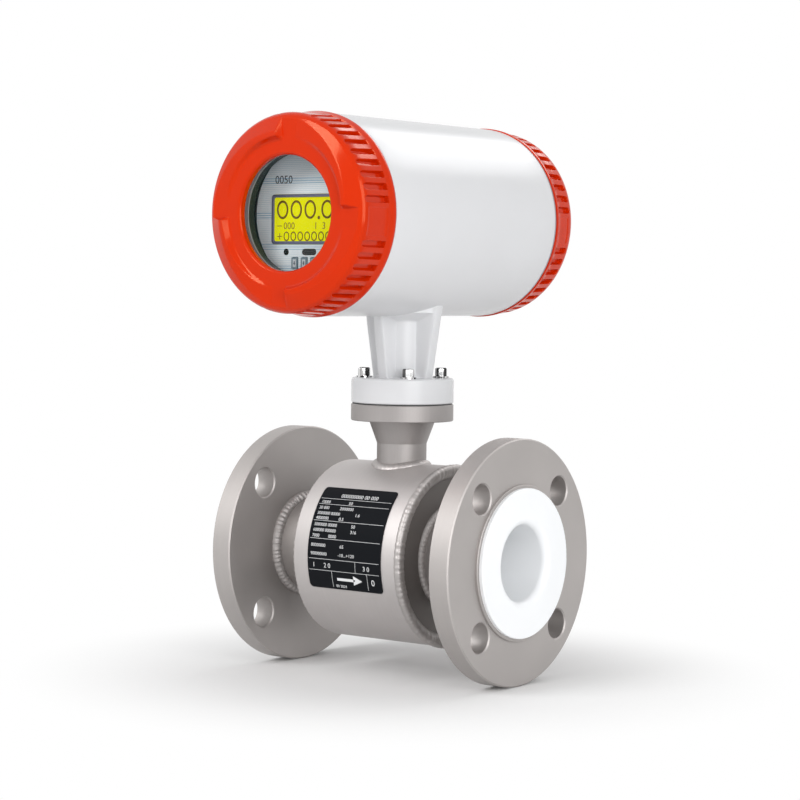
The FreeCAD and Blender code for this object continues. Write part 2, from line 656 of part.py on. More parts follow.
def front_cover():
    """Screwed cover with the window, four raised vanes round it and a grip rim."""
    d = FRONT_DEPTH
    wall = d - FRONT_WALL
    spigot_r = THREAD_R - MOVE
    seat = wall - GLASS_T - GLASS_GASKET_T
    pocket_r = GLASS_R + SEAT
    ring_r = RETAINER_R + SEAT
    body = cap([(FRONT_INNER_R, -SPIGOT_L), (spigot_r - 1, -SPIGOT_L), (spigot_r, -SPIGOT_L + 1), (spigot_r, 0)]
               + side_outline(FRONT_SIDE)
               + [(RIM_R - FACE_SHY, d), (WINDOW_R + WINDOW_CHAMFER, d), (WINDOW_R, d - WINDOW_CHAMFER),
                  (WINDOW_R, wall), (pocket_r, wall), (pocket_r, seat), (ring_r, seat),
                  (ring_r, seat - RETAINER_T), (FRONT_INNER_R, seat - RETAINER_T)])
    vanes = []
    for quarter in range(4):
        vanes += vane(90 * quarter)
    cover = union([body] + vanes)
    return facing_front(cover.cut(grip_cuts(FRONT_GRIP[0], FRONT_GRIP[1], GRIP_PAD_SHIFT)))


def rear_cover():
    """Blind screwed cover with the same grip rim."""
    d = REAR_DEPTH
    spigot_r = THREAD_R - MOVE
    body = cap([(REAR_INNER_R, -SPIGOT_L), (spigot_r - 1, -SPIGOT_L), (spigot_r, -SPIGOT_L + 1), (spigot_r, 0)]
               + side_outline(REAR_SIDE)
               + [(RIM_R - REAR_FACE_SHY, d), (0, d), (0, d - REAR_WALL),
                  (REAR_INNER_R - REAR_COVE, d - REAR_WALL), (REAR_INNER_R, d - REAR_WALL - REAR_COVE)])
    return facing_back(body.cut(grip_cuts(REAR_GRIP[0], REAR_GRIP[1], -GRIP_PAD_SHIFT)))


def cover_gasket():
    """Flat rubber ring between the case and a cover."""
    return tube("z", GASKET_R, THREAD_R + MOVE, -GASKET_T, 0)


def window_glass():
    top = FRONT_DEPTH - FRONT_WALL
    return facing_front(along("z", GLASS_R, top - GLASS_T, top))


def glass_gasket():
    top = FRONT_DEPTH - FRONT_WALL - GLASS_T
    return facing_front(tube("z", GLASS_R, RETAINER_IN_R, top - GLASS_GASKET_T, top))


def glass_retainer():
    """Threaded ring behind the glass, with slots for a pin key."""
    top = FRONT_DEPTH - FRONT_WALL - GLASS_T - GLASS_GASKET_T
    ring = tube("z", RETAINER_R, RETAINER_IN_R, top - RETAINER_T, top)
    half = RETAINER_SLOT_W / 2
    margin = (RETAINER_R - RETAINER_IN_R) / 4
    slot = box(RETAINER_IN_R + margin, RETAINER_R - margin, -half, half, 0, top - RETAINER_T + RETAINER_SLOT_T)
    angles = [360.0 / RETAINER_SLOTS * i for i in range(RETAINER_SLOTS)]
    return facing_front(ring.cut(Part.makeCompound(on_circle(slot, angles, V(0, 0, 0), Z))))


# ---------------------------------------------------------------- display and electronics
LCD_Z = AXIS_Z - LCD_DROP
KEY_Z = AXIS_Z - KEY_DROP
LENS_Z = AXIS_Z - LENS_DROP
KEY_XS = [KEY_PITCH * (i - (KEY_COUNT - 1) / 2) for i in range(KEY_COUNT)]
PLATE_BACK_Y = FACEPLATE_Y + FACEPLATE_T


def key_hole(x, gap, y0, y1):
    slab = rounded_slab(KEY_W / 2 + gap, KEY_H / 2 + gap, KEY_CORNER, y0, y1, KEY_Z)
    slab.translate(V(x, 0, 0))
    return slab


def slot_prism(gap, y0, y1):
    """Long lens window with round ends."""
    half = SLOT_HALF - SLOT_HALF_H
    r = SLOT_HALF_H + gap
    bar = box(-half, half, y0, y1, LENS_Z - r, LENS_Z + r)
    return union([bar, along("y", r, y0, y1, -half, LENS_Z), along("y", r, y0, y1, half, LENS_Z)])


def faceplate():
    """Round printed plate with the display window, lens windows and key holes."""
    plate = along("y", FACEPLATE_R, FACEPLATE_Y, PLATE_BACK_Y, 0, AXIS_Z)
    cuts = [rounded_slab(LCD_HALF_X + SEAT, LCD_HALF_Z + SEAT, LCD_CORNER, FACEPLATE_Y - 1, PLATE_BACK_Y + 1, LCD_Z),
            along("y", DOT_R + SEAT, FACEPLATE_Y - 1, PLATE_BACK_Y + 1, DOT_X, LENS_Z),
            slot_prism(SEAT, FACEPLATE_Y - 1, PLATE_BACK_Y + 1)]
    cuts += [key_hole(x, MOVE, FACEPLATE_Y - 1, PLATE_BACK_Y + 1) for x in KEY_XS]
    return plate.cut(cuts)


def display_bezel():
    """Thin frame that stands a little proud round the display."""
    outer = rounded_slab(LCD_HALF_X, LCD_HALF_Z, LCD_CORNER - SEAT, FACEPLATE_Y - BEZEL_PROUD, PLATE_BACK_Y, LCD_Z)
    inner = rounded_slab(LCD_HALF_X - LCD_BEZEL, LCD_HALF_Z - LCD_BEZEL, LCD_CORNER - LCD_BEZEL,
                         FACEPLATE_Y - 1, PLATE_BACK_Y + 1, LCD_Z)
    return outer.cut(inner)


def lcd_module():
    """Glass display cell on its board."""
    cell = rounded_slab(LCD_HALF_X - LCD_BEZEL - SEAT, LCD_HALF_Z - LCD_BEZEL - SEAT, 0.5,
                        FACEPLATE_Y + 0.5, PLATE_BACK_Y + 1, LCD_Z)
    back = rounded_slab(LCD_HALF_X + 1, LCD_HALF_Z + 1, 0.5, PLATE_BACK_Y + 0.05, PLATE_BACK_Y + LCD_T, LCD_Z)
    return union([cell, back])


def optical_windows():
    """Dark round and long windows of the infrared port and light sensor."""
    y0 = FACEPLATE_Y + 0.2
    y1 = PLATE_BACK_Y + 2.0
    return [along("y", DOT_R, y0, y1, DOT_X, LENS_Z), slot_prism(0, y0, y1)]


def key(x):
    """Push key: cap through the faceplate and a collar behind it."""
    stem = key_hole(x, 0, FACEPLATE_Y - KEY_PROUD, PLATE_BACK_Y + KEY_STEM)
    collar = key_hole(x, KEY_COLLAR, PLATE_BACK_Y + MOVE, PLATE_BACK_Y + MOVE + KEY_COLLAR_T)
    return union([stem, collar])


def display_cup():
    """Plastic cup that carries the faceplate and stands on the display board."""
    front = PLATE_BACK_Y
    back = DISPLAY_BOARD_Y
    cup = tube("y", CUP_R, CUP_R - CUP_WALL, FACEPLATE_Y - CUP_LIP, back, 0, AXIS_Z)
    ledge = tube("y", CUP_R - CUP_WALL / 2, FACEPLATE_R - CUP_WALL, front, front + CUP_WALL, 0, AXIS_Z)
    bosses = []
    for angle in SPACER_ANGLES:
        x, z = polar(SPACER_RADIUS, angle)
        bosses.append(along("y", SPACER_R + SEAT, front, back, x, z))
    shape = union([cup, ledge] + bosses)
    holes = [along("y", SPACER_HOLE_R, front - 1, back + 1, *polar(SPACER_RADIUS, a)) for a in SPACER_ANGLES]
    lcd = rounded_slab(LCD_HALF_X + 1 + SEAT, LCD_HALF_Z + 1 + SEAT, 0.5, front - 1, back + 1, LCD_Z)
    seat = along("y", FACEPLATE_R + SEAT, FACEPLATE_Y - 1, front, 0, AXIS_Z)
    return shape.cut(seat).cut(lcd).cut(holes)


def polar(radius, angle):
    """Point in the XZ plane about the transmitter axis."""
    return (radius * math.cos(math.radians(angle)), AXIS_Z + radius * math.sin(math.radians(angle)))


def board(y, radius=BOARD_R):
    """Round circuit board with its spacer holes."""
    disc = along("y", radius, y, y + BOARD_T, 0, AXIS_Z)
    holes = [along("y", SPACER_HOLE_R, y - 1, y + BOARD_T + 1, *polar(SPACER_RADIUS, a)) for a in SPACER_ANGLES]
    return disc.cut(holes)


def spacers():
    """Hexagonal spacers between the partition and the three boards."""
    solids = []
    spans = [(DISPLAY_BOARD_Y + BOARD_T, MAIN_BOARD_Y), (MAIN_BOARD_Y + BOARD_T, POWER_BOARD_Y),
             (POWER_BOARD_Y + BOARD_T, WALL_Y[0])]
    for y0, y1 in spans:
        for angle in SPACER_ANGLES:
            x, z = polar(SPACER_RADIUS, angle)
            solids.append(along("y", SPACER_R, y0, y1, x, z))
    return solids


def key_switches():
    """Tactile switches under the keys."""
    top = PLATE_BACK_Y + KEY_STEM + KEY_TRAVEL + MOVE
    h = SWITCH_HALF
    return [box(x - h, x + h, top, DISPLAY_BOARD_Y, KEY_Z - h, KEY_Z + h) for x in KEY_XS]


def on_board(size, at, y, margin=0.0):
    """Block on the front of a board at y; size is width, height and depth, at is its middle."""
    half_x = size[0] / 2 - margin
    half_z = size[1] / 2 - margin
    z = AXIS_Z + at[1]
    return box(at[0] - half_x, at[0] + half_x, y - size[2], y, z - half_z, z + half_z)


def power_parts():
    """Transformer and two capacitors on the power board."""
    y = POWER_BOARD_Y
    transformer = on_board(TRANSFORMER, TRANSFORMER_AT, y)
    bobbin_size = (TRANSFORMER[0], TRANSFORMER[1], TRANSFORMER[2] + BOBBIN_T)
    bobbin = on_board(bobbin_size, TRANSFORMER_AT, y, BOBBIN_MARGIN)
    capacitors = [along("y", CAPACITOR_R, y - CAPACITOR_H, y, x, AXIS_Z + z) for x, z in CAPACITORS_AT]
    return [union([transformer, bobbin])] + capacitors


def main_parts():
    """Chips and the pin header on the main board."""
    chips = [on_board(size, at, MAIN_BOARD_Y) for size, at in zip(CHIPS, CHIPS_AT)]
    return chips + [on_board(HEADER, HEADER_AT, MAIN_BOARD_Y)]


TERMINAL_PITCH = 2 * BLOCK_X / TERMINALS
TERMINAL_XS = [TERMINAL_PITCH * (i + 0.5) - BLOCK_X for i in range(TERMINALS)]
TERMINAL_Z = AXIS_Z + BLOCK_Z[1] - TERMINAL_SCREW_DROP
BLOCK_BACK_Y = WALL_Y[1] + BLOCK_T


def terminal_block():
    """Row of clamping terminals on the partition in the rear compartment."""
    low = AXIS_Z + BLOCK_Z[0]
    body = box(-BLOCK_X, BLOCK_X, WALL_Y[1], BLOCK_BACK_Y, low, AXIS_Z + BLOCK_Z[1])
    step_depth, step_height = BLOCK_STEP
    step = box(-2 * BLOCK_X, 2 * BLOCK_X, BLOCK_BACK_Y - step_depth, BLOCK_BACK_Y + 1, low - 1, low + step_height)
    width, height, depth = TERMINAL_MOUTH
    mouth_y = BLOCK_BACK_Y - step_depth - height - 1
    mouths = [box(x - width / 2, x + width / 2, mouth_y, mouth_y + height, low - 1, low + depth) for x in TERMINAL_XS]
    r = TERMINAL_SCREW_R + SEAT
    wells = [along("y", r, BLOCK_BACK_Y - TERMINAL_WELL, BLOCK_BACK_Y + 1, x, TERMINAL_Z) for x in TERMINAL_XS]
    return body.cut([step] + mouths + wells)


def terminal_screws():
    """Slotted clamping screws in the wells of the block."""
    y0 = BLOCK_BACK_Y - TERMINAL_WELL
    y1 = y0 + TERMINAL_SCREW_T
    half = TERMINAL_SLOT_W / 2
    z = TERMINAL_Z
    solids = []
    for x in TERMINAL_XS:
        screw = along("y", TERMINAL_SCREW_R, y0, y1, x, z)
        slot = box(x - half, x + half, y1 - TERMINAL_SCREW_T / 3, y1 + 1, z - BLOCK_T, z + BLOCK_T)
        solids.append(screw.cut(slot))
    return solids


# ---------------------------------------------------------------- cable glands
HEX_OUT_X = GLAND_FACE_X - GLAND_HEX_T
BODY_END_X = HEX_OUT_X - GLAND_BODY_L
NUT_IN_X = HEX_OUT_X - MOVE
NUT_END_X = NUT_IN_X - GLAND_NUT_L


def gland_body(y):
    thread = along("x", GLAND_THREAD_R, GLAND_FACE_X, GLAND_FACE_X + GLAND_TAIL, y, AXIS_Z)
    collar = hexagon("x", GLAND_AF, HEX_OUT_X, GLAND_FACE_X, y, AXIS_Z)
    neck = along("x", GLAND_THREAD_R, BODY_END_X, HEX_OUT_X, y, AXIS_Z)
    bore = along("x", GLAND_BORE_R, BODY_END_X - 1, GLAND_FACE_X + GLAND_TAIL + 1, y, AXIS_Z)
    return union([thread, collar, neck]).cut(bore)


def gland_seal(y):
    r = GLAND_BORE_R - MOVE
    return tube("x", r, GLAND_SEAL_IN_R, NUT_END_X + GLAND_DOME_WALL + MOVE, HEX_OUT_X - 1, y, AXIS_Z)


def gland_nut(y):
    inner = GLAND_THREAD_R + MOVE
    shoulder = NUT_END_X + GLAND_DOME
    skirt = hexagon("x", GLAND_AF, shoulder, NUT_IN_X, y, AXIS_Z)
    lip = GLAND_NUT_HOLE_R + GLAND_DOME_LIP
    dome = Part.makeCone(GLAND_AF / 2, lip, GLAND_DOME, V(shoulder, y, AXIS_Z), X * -1)
    shape = union([skirt, dome])
    hollow = along("x", inner, BODY_END_X - MOVE, NUT_IN_X + 1, y, AXIS_Z)
    pocket = along("x", GLAND_BORE_R, NUT_END_X + GLAND_DOME_WALL, NUT_IN_X, y, AXIS_Z)
    hole = along("x", GLAND_NUT_HOLE_R, NUT_END_X - 1, NUT_IN_X, y, AXIS_Z)
    return shape.cut([hollow, pocket, hole])


# ---------------------------------------------------------------- export
def build():
    outlet = flange()
    end = end_plate()
    shoe = pole_shoe()
    winding = coil()
    stud = electrode()
    bush = electrode_bush()
    nodes = {
        "measuring_tube": [measuring_tube()],
        "ptfe_lining": [lining()],
        "outlet_flange": [outlet],
        "inlet_flange": [outlet.mirror(V(0, 0, 0), X)],
        "flange_welds": flange_welds(),
        "coil_housing": [coil_housing()],
        "outlet_end_plate": [end],
        "inlet_end_plate": [end.mirror(V(0, 0, 0), X)],
        "end_welds": end_welds(),
        "nameplate": [nameplate()],
        "upper_pole_shoe": [shoe],
        "lower_pole_shoe": [shoe.mirror(V(0, 0, 0), Z)],
        "upper_coil": [winding],
        "lower_coil": [winding.mirror(V(0, 0, 0), Z)],
        "magnetic_yoke": [yoke()],
        "coil_screws": coil_screws(),
        "front_electrode": [stud],
        "rear_electrode": [stud.mirror(V(0, 0, 0), Y)],
        "front_electrode_bush": [bush],
        "rear_electrode_bush": [bush.mirror(V(0, 0, 0), Y)],
        "electrode_nuts": electrode_nuts(),
        "neck_pipe": [neck_pipe()],
        "neck_weld": [neck_weld()],
        "neck_flange": [neck_flange()],
        "neck_gasket": [neck_gasket()],
        "neck_washers": neck_washers(),
        "neck_screws": neck_screws(),
        "transmitter_housing": [transmitter_housing()],
        "front_cover": [front_cover()],
        "front_gasket": [facing_front(cover_gasket())],
        "window_glass": [window_glass()],
        "glass_gasket": [glass_gasket()],
        "glass_retainer": [glass_retainer()],
        "rear_cover": [rear_cover()],
        "rear_gasket": [facing_back(cover_gasket())],
        "faceplate": [faceplate()],
        "display_bezel": [display_bezel()],
        "lcd_module": [lcd_module()],
        "optical_windows": optical_windows(),
        "display_cup": [display_cup()],
        "display_board": [board(DISPLAY_BOARD_Y)],
        "key_switches": key_switches(),
        "main_board": [board(MAIN_BOARD_Y)],
        "main_board_parts": main_parts(),
        "power_board": [board(POWER_BOARD_Y)],
        "power_board_parts": power_parts(),
        "board_spacers": spacers(),
        "terminal_block": [terminal_block()],
        "terminal_screws": terminal_screws(),
    }
    for number, x in enumerate(KEY_XS, 1):
        nodes[f"key_{number}"] = [key(x)]
    for side, y in zip(("front", "rear"), GLAND_Y):
        nodes[f"{side}_gland_body"] = [gland_body(y)]
        nodes[f"{side}_gland_seal"] = [gland_seal(y)]
        nodes[f"{side}_gland_nut"] = [gland_nut(y)]
    for name, solids in nodes.items():
        shape = solids[0] if len(solids) == 1 else Part.makeCompound(solids)
        print(name, len(shape.Solids), "solids", round(shape.Volume / 1000, 2), "cm3", shape.isValid())
        shape.exportStep(f"parts/{name}.step")
    print(len(nodes), "nodes")


build()
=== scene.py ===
# %% [markdown]
# # An electromagnetic flow meter
# This lesson dresses a finished construction model. The construction gives every piece its
# place and size in metres. Here each surface gets its finish, and the castings, welds and
# printed parts get the soft edges and small forms that a construction model leaves out.

# %% Load the construction model
import math

import bpy
from mathutils import Matrix, Vector, noise


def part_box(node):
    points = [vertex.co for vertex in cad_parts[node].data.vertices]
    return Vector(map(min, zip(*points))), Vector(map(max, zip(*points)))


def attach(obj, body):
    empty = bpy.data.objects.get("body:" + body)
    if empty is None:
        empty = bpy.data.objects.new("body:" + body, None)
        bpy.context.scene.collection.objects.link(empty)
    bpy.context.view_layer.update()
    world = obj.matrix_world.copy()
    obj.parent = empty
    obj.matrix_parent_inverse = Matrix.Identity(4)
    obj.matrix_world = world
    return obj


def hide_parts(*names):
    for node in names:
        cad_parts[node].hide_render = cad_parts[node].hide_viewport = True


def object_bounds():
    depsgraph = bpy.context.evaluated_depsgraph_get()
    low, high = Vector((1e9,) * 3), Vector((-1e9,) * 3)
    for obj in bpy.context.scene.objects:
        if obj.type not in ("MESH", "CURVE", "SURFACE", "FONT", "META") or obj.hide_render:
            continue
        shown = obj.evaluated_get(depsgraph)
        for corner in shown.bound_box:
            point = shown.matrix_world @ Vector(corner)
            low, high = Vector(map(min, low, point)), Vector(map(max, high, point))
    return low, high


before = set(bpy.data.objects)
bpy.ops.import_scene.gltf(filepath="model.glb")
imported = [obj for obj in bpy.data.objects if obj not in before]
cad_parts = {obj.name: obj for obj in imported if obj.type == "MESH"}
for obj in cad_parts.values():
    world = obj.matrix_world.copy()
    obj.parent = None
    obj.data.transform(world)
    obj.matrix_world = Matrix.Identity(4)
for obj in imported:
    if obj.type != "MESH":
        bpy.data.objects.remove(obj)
cad_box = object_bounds()

# %% [markdown]
# ## Measures
# Every place is read from the construction model's own boxes, so the dressing still fits
# when a size there changes. A box gives the lowest and the highest corner of one node.

# %% Places of the main pieces
MM = 0.001
front_low, front_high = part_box("front_cover")
case_low, case_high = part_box("transmitter_housing")
bezel_low, bezel_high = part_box("display_bezel")
AXIS_Z = (front_low[2] + front_high[2]) / 2
RIM_R = (front_high[2] - front_low[2]) / 2
FRONT_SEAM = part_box("front_gasket")[0][1]
REAR_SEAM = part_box("rear_gasket")[1][1]
DRUM_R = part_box("coil_housing")[1][2]
FACEPLATE_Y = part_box("faceplate")[0][1]
DISPLAY_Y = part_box("lcd_module")[0][1]
print("transmitter axis at", round(AXIS_Z, 4), "m, rim radius", round(RIM_R, 4), "m")

# %% [markdown]
# ## Working with one object at a time
# Operators act on everything that is selected. These helpers deselect first, so that an
# operator touches the piece that is meant and nothing of the construction model.

# %% Selection and finishing helpers
def deselect():
    """Leave nothing selected, so that an operator touches only what it adds."""
    bpy.ops.object.select_all(action="DESELECT")


def only(piece):
    """Select one object and make it the active one."""
    deselect()
    piece.select_set(True)
    bpy.context.view_layer.objects.active = piece
    return piece


def named(piece, name):
    """Name an object and its mesh."""
    piece.name = name
    piece.data.name = name
    return piece


def apply_place(piece):
    """Move an object's place, turn and size into its mesh."""
    only(piece)
    bpy.ops.object.transform_apply(location=True, rotation=True, scale=True)
    return piece


def modify(piece, kind, **settings):
    """Add a modifier, set it and apply it."""
    only(piece)
    modifier = piece.modifiers.new(kind.title(), kind)
    for key, value in settings.items():
        setattr(modifier, key, value)
    bpy.ops.object.modifier_apply(modifier=modifier.name)
    return piece


def tidy_mesh(piece, distance=1e-6):
    """Merge doubled vertices and turn every face outwards."""
    only(piece)
    bpy.ops.object.mode_set(mode="EDIT")
    bpy.ops.mesh.select_all(action="SELECT")
    bpy.ops.mesh.remove_doubles(threshold=distance)
    bpy.ops.mesh.normals_make_consistent(inside=False)
    bpy.ops.object.mode_set(mode="OBJECT")
    return piece


def smooth(piece, angle=30):
    """Shade soft below an angle and sharp above it."""
    only(piece)
    bpy.ops.object.shade_smooth_by_angle(angle=math.radians(angle))
    return piece


def join(pieces, name):
    """Join objects into one."""
    only(pieces[0])
    for other in pieces[1:]:
        other.select_set(True)
    if len(pieces) > 1:
        bpy.ops.object.join()
    return named(pieces[0], name)


def dress(piece, finish, body, replaces=()):
    """Give a piece its material, the body it rides on and the nodes it stands for."""
    piece.data.materials.clear()
    piece.data.materials.append(finish)
    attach(piece, body)
    if replaces:
        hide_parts(*replaces)
    return piece


# %% [markdown]
# ## Turned shapes
# Covers, rings and beads are turned shapes. A closed outline is drawn once in a plane through
# the axis and the Screw modifier sweeps it round. Turning gives even rows of four-sided faces,
# which later steps can push in and out without tearing.

# %% Lathe
def outline_object(name, points, axis):
    """Closed loop of edges; points are (along the axis, radius) in metres."""
    place = {"X": lambda a, r: (a, 0, r), "Y": lambda a, r: (r, a, 0), "Z": lambda a, r: (r, 0, a)}[axis]
    deselect()
    bpy.ops.mesh.primitive_circle_add(vertices=len(points), radius=0.01, location=(0, 0, 0))
    loop = named(bpy.context.active_object, name)
    for vertex, (a, r) in zip(loop.data.vertices, points):
        vertex.co = place(a, r)
    return loop


def turned(name, points, axis="Z", centre=(0, 0, 0), steps=128):
    """Outline swept once round an axis through the centre."""
    piece = outline_object(name, points, axis)
    modify(piece, "SCREW", axis=axis, steps=steps, render_steps=steps, use_merge_vertices=True,
           merge_threshold=1e-7, use_smooth_shade=True)
    piece.location = centre
    apply_place(piece)
    return tidy_mesh(piece)


CORNER_SHARE = 0.45      # a corner's curve takes at most this part of each side


def soft_corner(before, here, after, size, cuts):
    """Points of a short curve that stands in for a corner."""
    before, here, after = Vector(before), Vector(here), Vector(after)
    reach_in = min(size, (before - here).length * CORNER_SHARE)
    reach_out = min(size, (after - here).length * CORNER_SHARE)
    start = here + (before - here).normalized() * reach_in
    end = here + (after - here).normalized() * reach_out
    curve = []
    for j in range(cuts + 1):
        t = j / cuts
        curve.append(tuple(start * (1 - t) ** 2 + here * (2 * t * (1 - t)) + end * t ** 2))
    return curve


def rounded(points, radius, cuts=3):
    """Closed outline with each corner replaced by a short curve."""
    result = []
    for i, point in enumerate(points):
        result += soft_corner(points[i - 1], point, points[(i + 1) % len(points)], radius, cuts)
    return result


# %% [markdown]
# ## Materials as sums
# A material is a small calculation for each point of the surface. The class below wraps a
# socket of the node tree, so that a sum written in Python becomes the Math nodes that do it.

# %% Shader maths
class Amount:
    """A number in a material. Operators on it add Math nodes."""

    def __init__(self, paint, socket):
        self.paint = paint
        self.socket = socket

    def maths(self, operation, *values):
        inputs = dict(enumerate((self,) + values))
        node = self.paint.node("ShaderNodeMath", {"operation": operation}, inputs)
        return Amount(self.paint, node.outputs[0])

    def __add__(self, other):
        return self.maths("ADD", other)

    def __sub__(self, other):
        return self.maths("SUBTRACT", other)

    def __rsub__(self, other):
        return (self * -1).maths("ADD", other)

    def __mul__(self, other):
        return self.maths("MULTIPLY", other)

    def __truediv__(self, other):
        return self.maths("DIVIDE", other)

    __radd__ = __add__
    __rmul__ = __mul__

    def over(self, low, high):
        """0 below low, 1 above high, with a soft rise between."""
        node = self.paint.node("ShaderNodeMapRange", {"interpolation_type": "SMOOTHSTEP"},
                               {"Value": self, "From Min": low, "From Max": high})
        return Amount(self.paint, node.outputs["Result"])

    def band(self, centre, half, soft):
        """1 within half of the centre, 0 outside."""
        return 1 - (self - centre).maths("ABSOLUTE").over(half - soft, half + soft)


class Paint:
    """One material with a Principled shader and the calculations that feed it."""

    def __init__(self, name, colour, roughness=0.5, metallic=0.0, **sockets):
        self.material = bpy.data.materials.new(name)
        self.material.use_nodes = True
        self.tree = self.material.node_tree
        self.shader = self.tree.nodes["Principled BSDF"]
        self.shader.inputs["Base Color"].default_value = (*colour, 1)
        self.shader.inputs["Roughness"].default_value = roughness
        self.shader.inputs["Metallic"].default_value = metallic
        for key, value in sockets.items():
            self.shader.inputs[key.replace("_", " ")].default_value = value
        self.place = self.node("ShaderNodeTexCoord", {}, {}).outputs["Object"]

    def node(self, kind, settings, inputs):
        """Add a node: its settings first, then a value or a link for each named socket."""
        node = self.tree.nodes.new(kind)
        for key, value in settings.items():
            if key == "stops":
                self.set_stops(node.color_ramp, value)
            else:
                setattr(node, key, value)
        for key, value in inputs.items():
            socket = node.inputs[key]
            source = value.socket if isinstance(value, Amount) else value
            if isinstance(source, bpy.types.NodeSocket):
                self.tree.links.new(source, socket)
            elif hasattr(source, "__len__") and len(source) == 3 and socket.type == "RGBA":
                socket.default_value = (*source, 1)
            else:
                socket.default_value = source
        return node

    def set_stops(self, ramp, stops):
        """Place the stops of a colour ramp, each a position and a colour."""
        while len(ramp.elements) < len(stops):
            ramp.elements.new(0.5)
        for element, (position, colour) in zip(ramp.elements, stops):
            element.position = position
            element.color = (*colour, 1)

    def axes(self, centre=(0, 0, 0)):
        """The three coordinates of the surface point, about a centre."""
        moved = self.node("ShaderNodeMapping", {"vector_type": "TEXTURE"},
                          {"Vector": self.place, "Location": centre})
        split = self.node("ShaderNodeSeparateXYZ", {}, {0: moved.outputs[0]})
        return [Amount(self, output) for output in split.outputs]

    def noise(self, scale, detail, stretch=(1, 1, 1)):
        """Cloudy variation between 0 and 1; scale is waves per metre."""
        moved = self.node("ShaderNodeMapping", {}, {"Vector": self.place, "Scale": stretch})
        node = self.node("ShaderNodeTexNoise", {},
                         {"Vector": moved.outputs[0], "Scale": scale, "Detail": detail})
        return Amount(self, node.outputs[0])

    def mix(self, amount, first, second):
        """Colour between two colours."""
        node = self.node("ShaderNodeMix", {"data_type": "RGBA"}, {0: amount, 6: first, 7: second})
        return node.outputs[2]

    def colour(self, source):
        self.tree.links.new(source, self.shader.inputs["Base Color"])
        return self

    def rough(self, amount):
        self.tree.links.new(amount.socket, self.shader.inputs["Roughness"])
        return self

    def bump(self, height, depth):
        """Small relief: depth is its height in metres."""
        node = self.node("ShaderNodeBump", {}, {"Height": height, "Distance": depth, "Strength": 1.0})
        self.tree.links.new(node.outputs[0], self.shader.inputs["Normal"])
        return self


# %% [markdown]
# ## Steel
# The flanges are turned and then blasted with beads, so they are a warm grey full of tiny pits.
# The tool marks still show on the rims and inside the holes. Those marks run round the pipe
# axis, which means that they change along X only. Noise that is stretched along Y and Z gives
# rings on a rim and nothing on a flat face, so one material serves both.

# %% Blasted and turned steel
GRAIN_WAVES, CLOUD_WAVES, TOOL_WAVES = 2600, 22, 1900      # waves per metre
ROUND_X = (1, 0.004, 0.004)      # stretch that makes rings round the pipe axis
RELIEF = 0.05 * MM


def blasted(name, colour, roughness, speckle=0.04 * MM, rings=0.03 * MM):
    """Blasted steel; speckle and rings are the depths of the pits and the tool marks."""
    paint = Paint(name, colour, roughness, 0.85)
    grain = paint.noise(GRAIN_WAVES, 3)
    cloud = paint.noise(CLOUD_WAVES, 3)
    marks = paint.noise(TOOL_WAVES, 2, ROUND_X)
    dark = tuple(c * 0.80 for c in colour)
    bright = tuple(min(c * 1.16, 1) for c in colour)
    paint.colour(paint.mix(cloud * 0.5 + grain * 0.3 + marks * 0.2, dark, bright))
    paint.rough(cloud * 0.12 + grain * 0.08 + (roughness - 0.10))
    paint.bump(grain * speckle / RELIEF + marks * rings / RELIEF, RELIEF)
    return paint.material


steel = blasted("bead blasted steel", (0.44, 0.415, 0.403), 0.56)
shell_steel = blasted("rolled steel shell", (0.53, 0.503, 0.495), 0.55, 0.03 * MM, 0.01 * MM)
weld_steel = blasted("brushed weld steel", (0.46, 0.435, 0.425), 0.50, 0.05 * MM, 0.0)
neck_steel = blasted("turned neck steel", (0.36, 0.34, 0.333), 0.56)
# Painted shade: the end plates get a darker copy of the steel, standing in for the shadow between the drum
# and the flanges.
painted_shade_plate_steel = blasted("plate steel with painted shade", (0.24, 0.225, 0.217), 0.5)
soft_iron = blasted("soft iron", (0.30, 0.29, 0.28), 0.5)


def polished_with_painted_reflections():
    """Plated screw steel with painted reflections: bands of bright and dark that run along the screw stand
    in for what its polished side mirrors.
    """
    paint = Paint("plated screw steel", (0.6, 0.59, 0.58), 0.18, 1.0)
    # Painted reflection: near black to near white bands in the colour imitate the reflections of a
    # polished cylinder.
    painted_reflection_bands = paint.noise(620, 1, (1, 1, 0.02))
    stops = [(0.44, (0.03, 0.03, 0.03)), (0.52, (0.42, 0.41, 0.41)), (0.64, (0.86, 0.86, 0.86))]
    ramp = paint.node("ShaderNodeValToRGB", {"stops": stops}, {0: painted_reflection_bands})
    paint.colour(ramp.outputs[0])
    return paint.material


screw_steel = polished_with_painted_reflections()

# %% [markdown]
# ## Powder coat, enamel and plastics
# Powder coat is glossy with a faint dimpled skin, called orange peel. The dimples are about a
# millimetre wide and only some hundredths of a millimetre deep.

# %% Coats
DIMPLE_WAVES, PATCH_WAVES = 520, 16      # waves per metre
THIN_PEEL, SOFT_PEEL, PEEL, DEEP_PEEL, GRAINY = [step * 0.01 * MM for step in (1, 2, 3, 4, 5)]
WARM_TINT = (1.0, 0.55, 0.30, 1.0)      # enamel tints its own reflection


def coated(name, colour, roughness, peel=PEEL, shine=0.5, tint=(1, 1, 1, 1)):
    """Paint, rubber or plastic; peel is the depth of its dimples in metres."""
    paint = Paint(name, colour, roughness, 0.0, Specular_IOR_Level=shine, Specular_Tint=tint)
    dimples = paint.noise(DIMPLE_WAVES, 2)
    cloud = paint.noise(PATCH_WAVES, 3)
    dark = tuple(c * 0.965 for c in colour)
    bright = tuple(min(c * 1.03, 1) for c in colour)
    paint.colour(paint.mix(cloud, dark, bright))
    paint.rough(cloud * 0.06 + (roughness - 0.03))
    paint.bump(dimples, peel)
    return paint.material


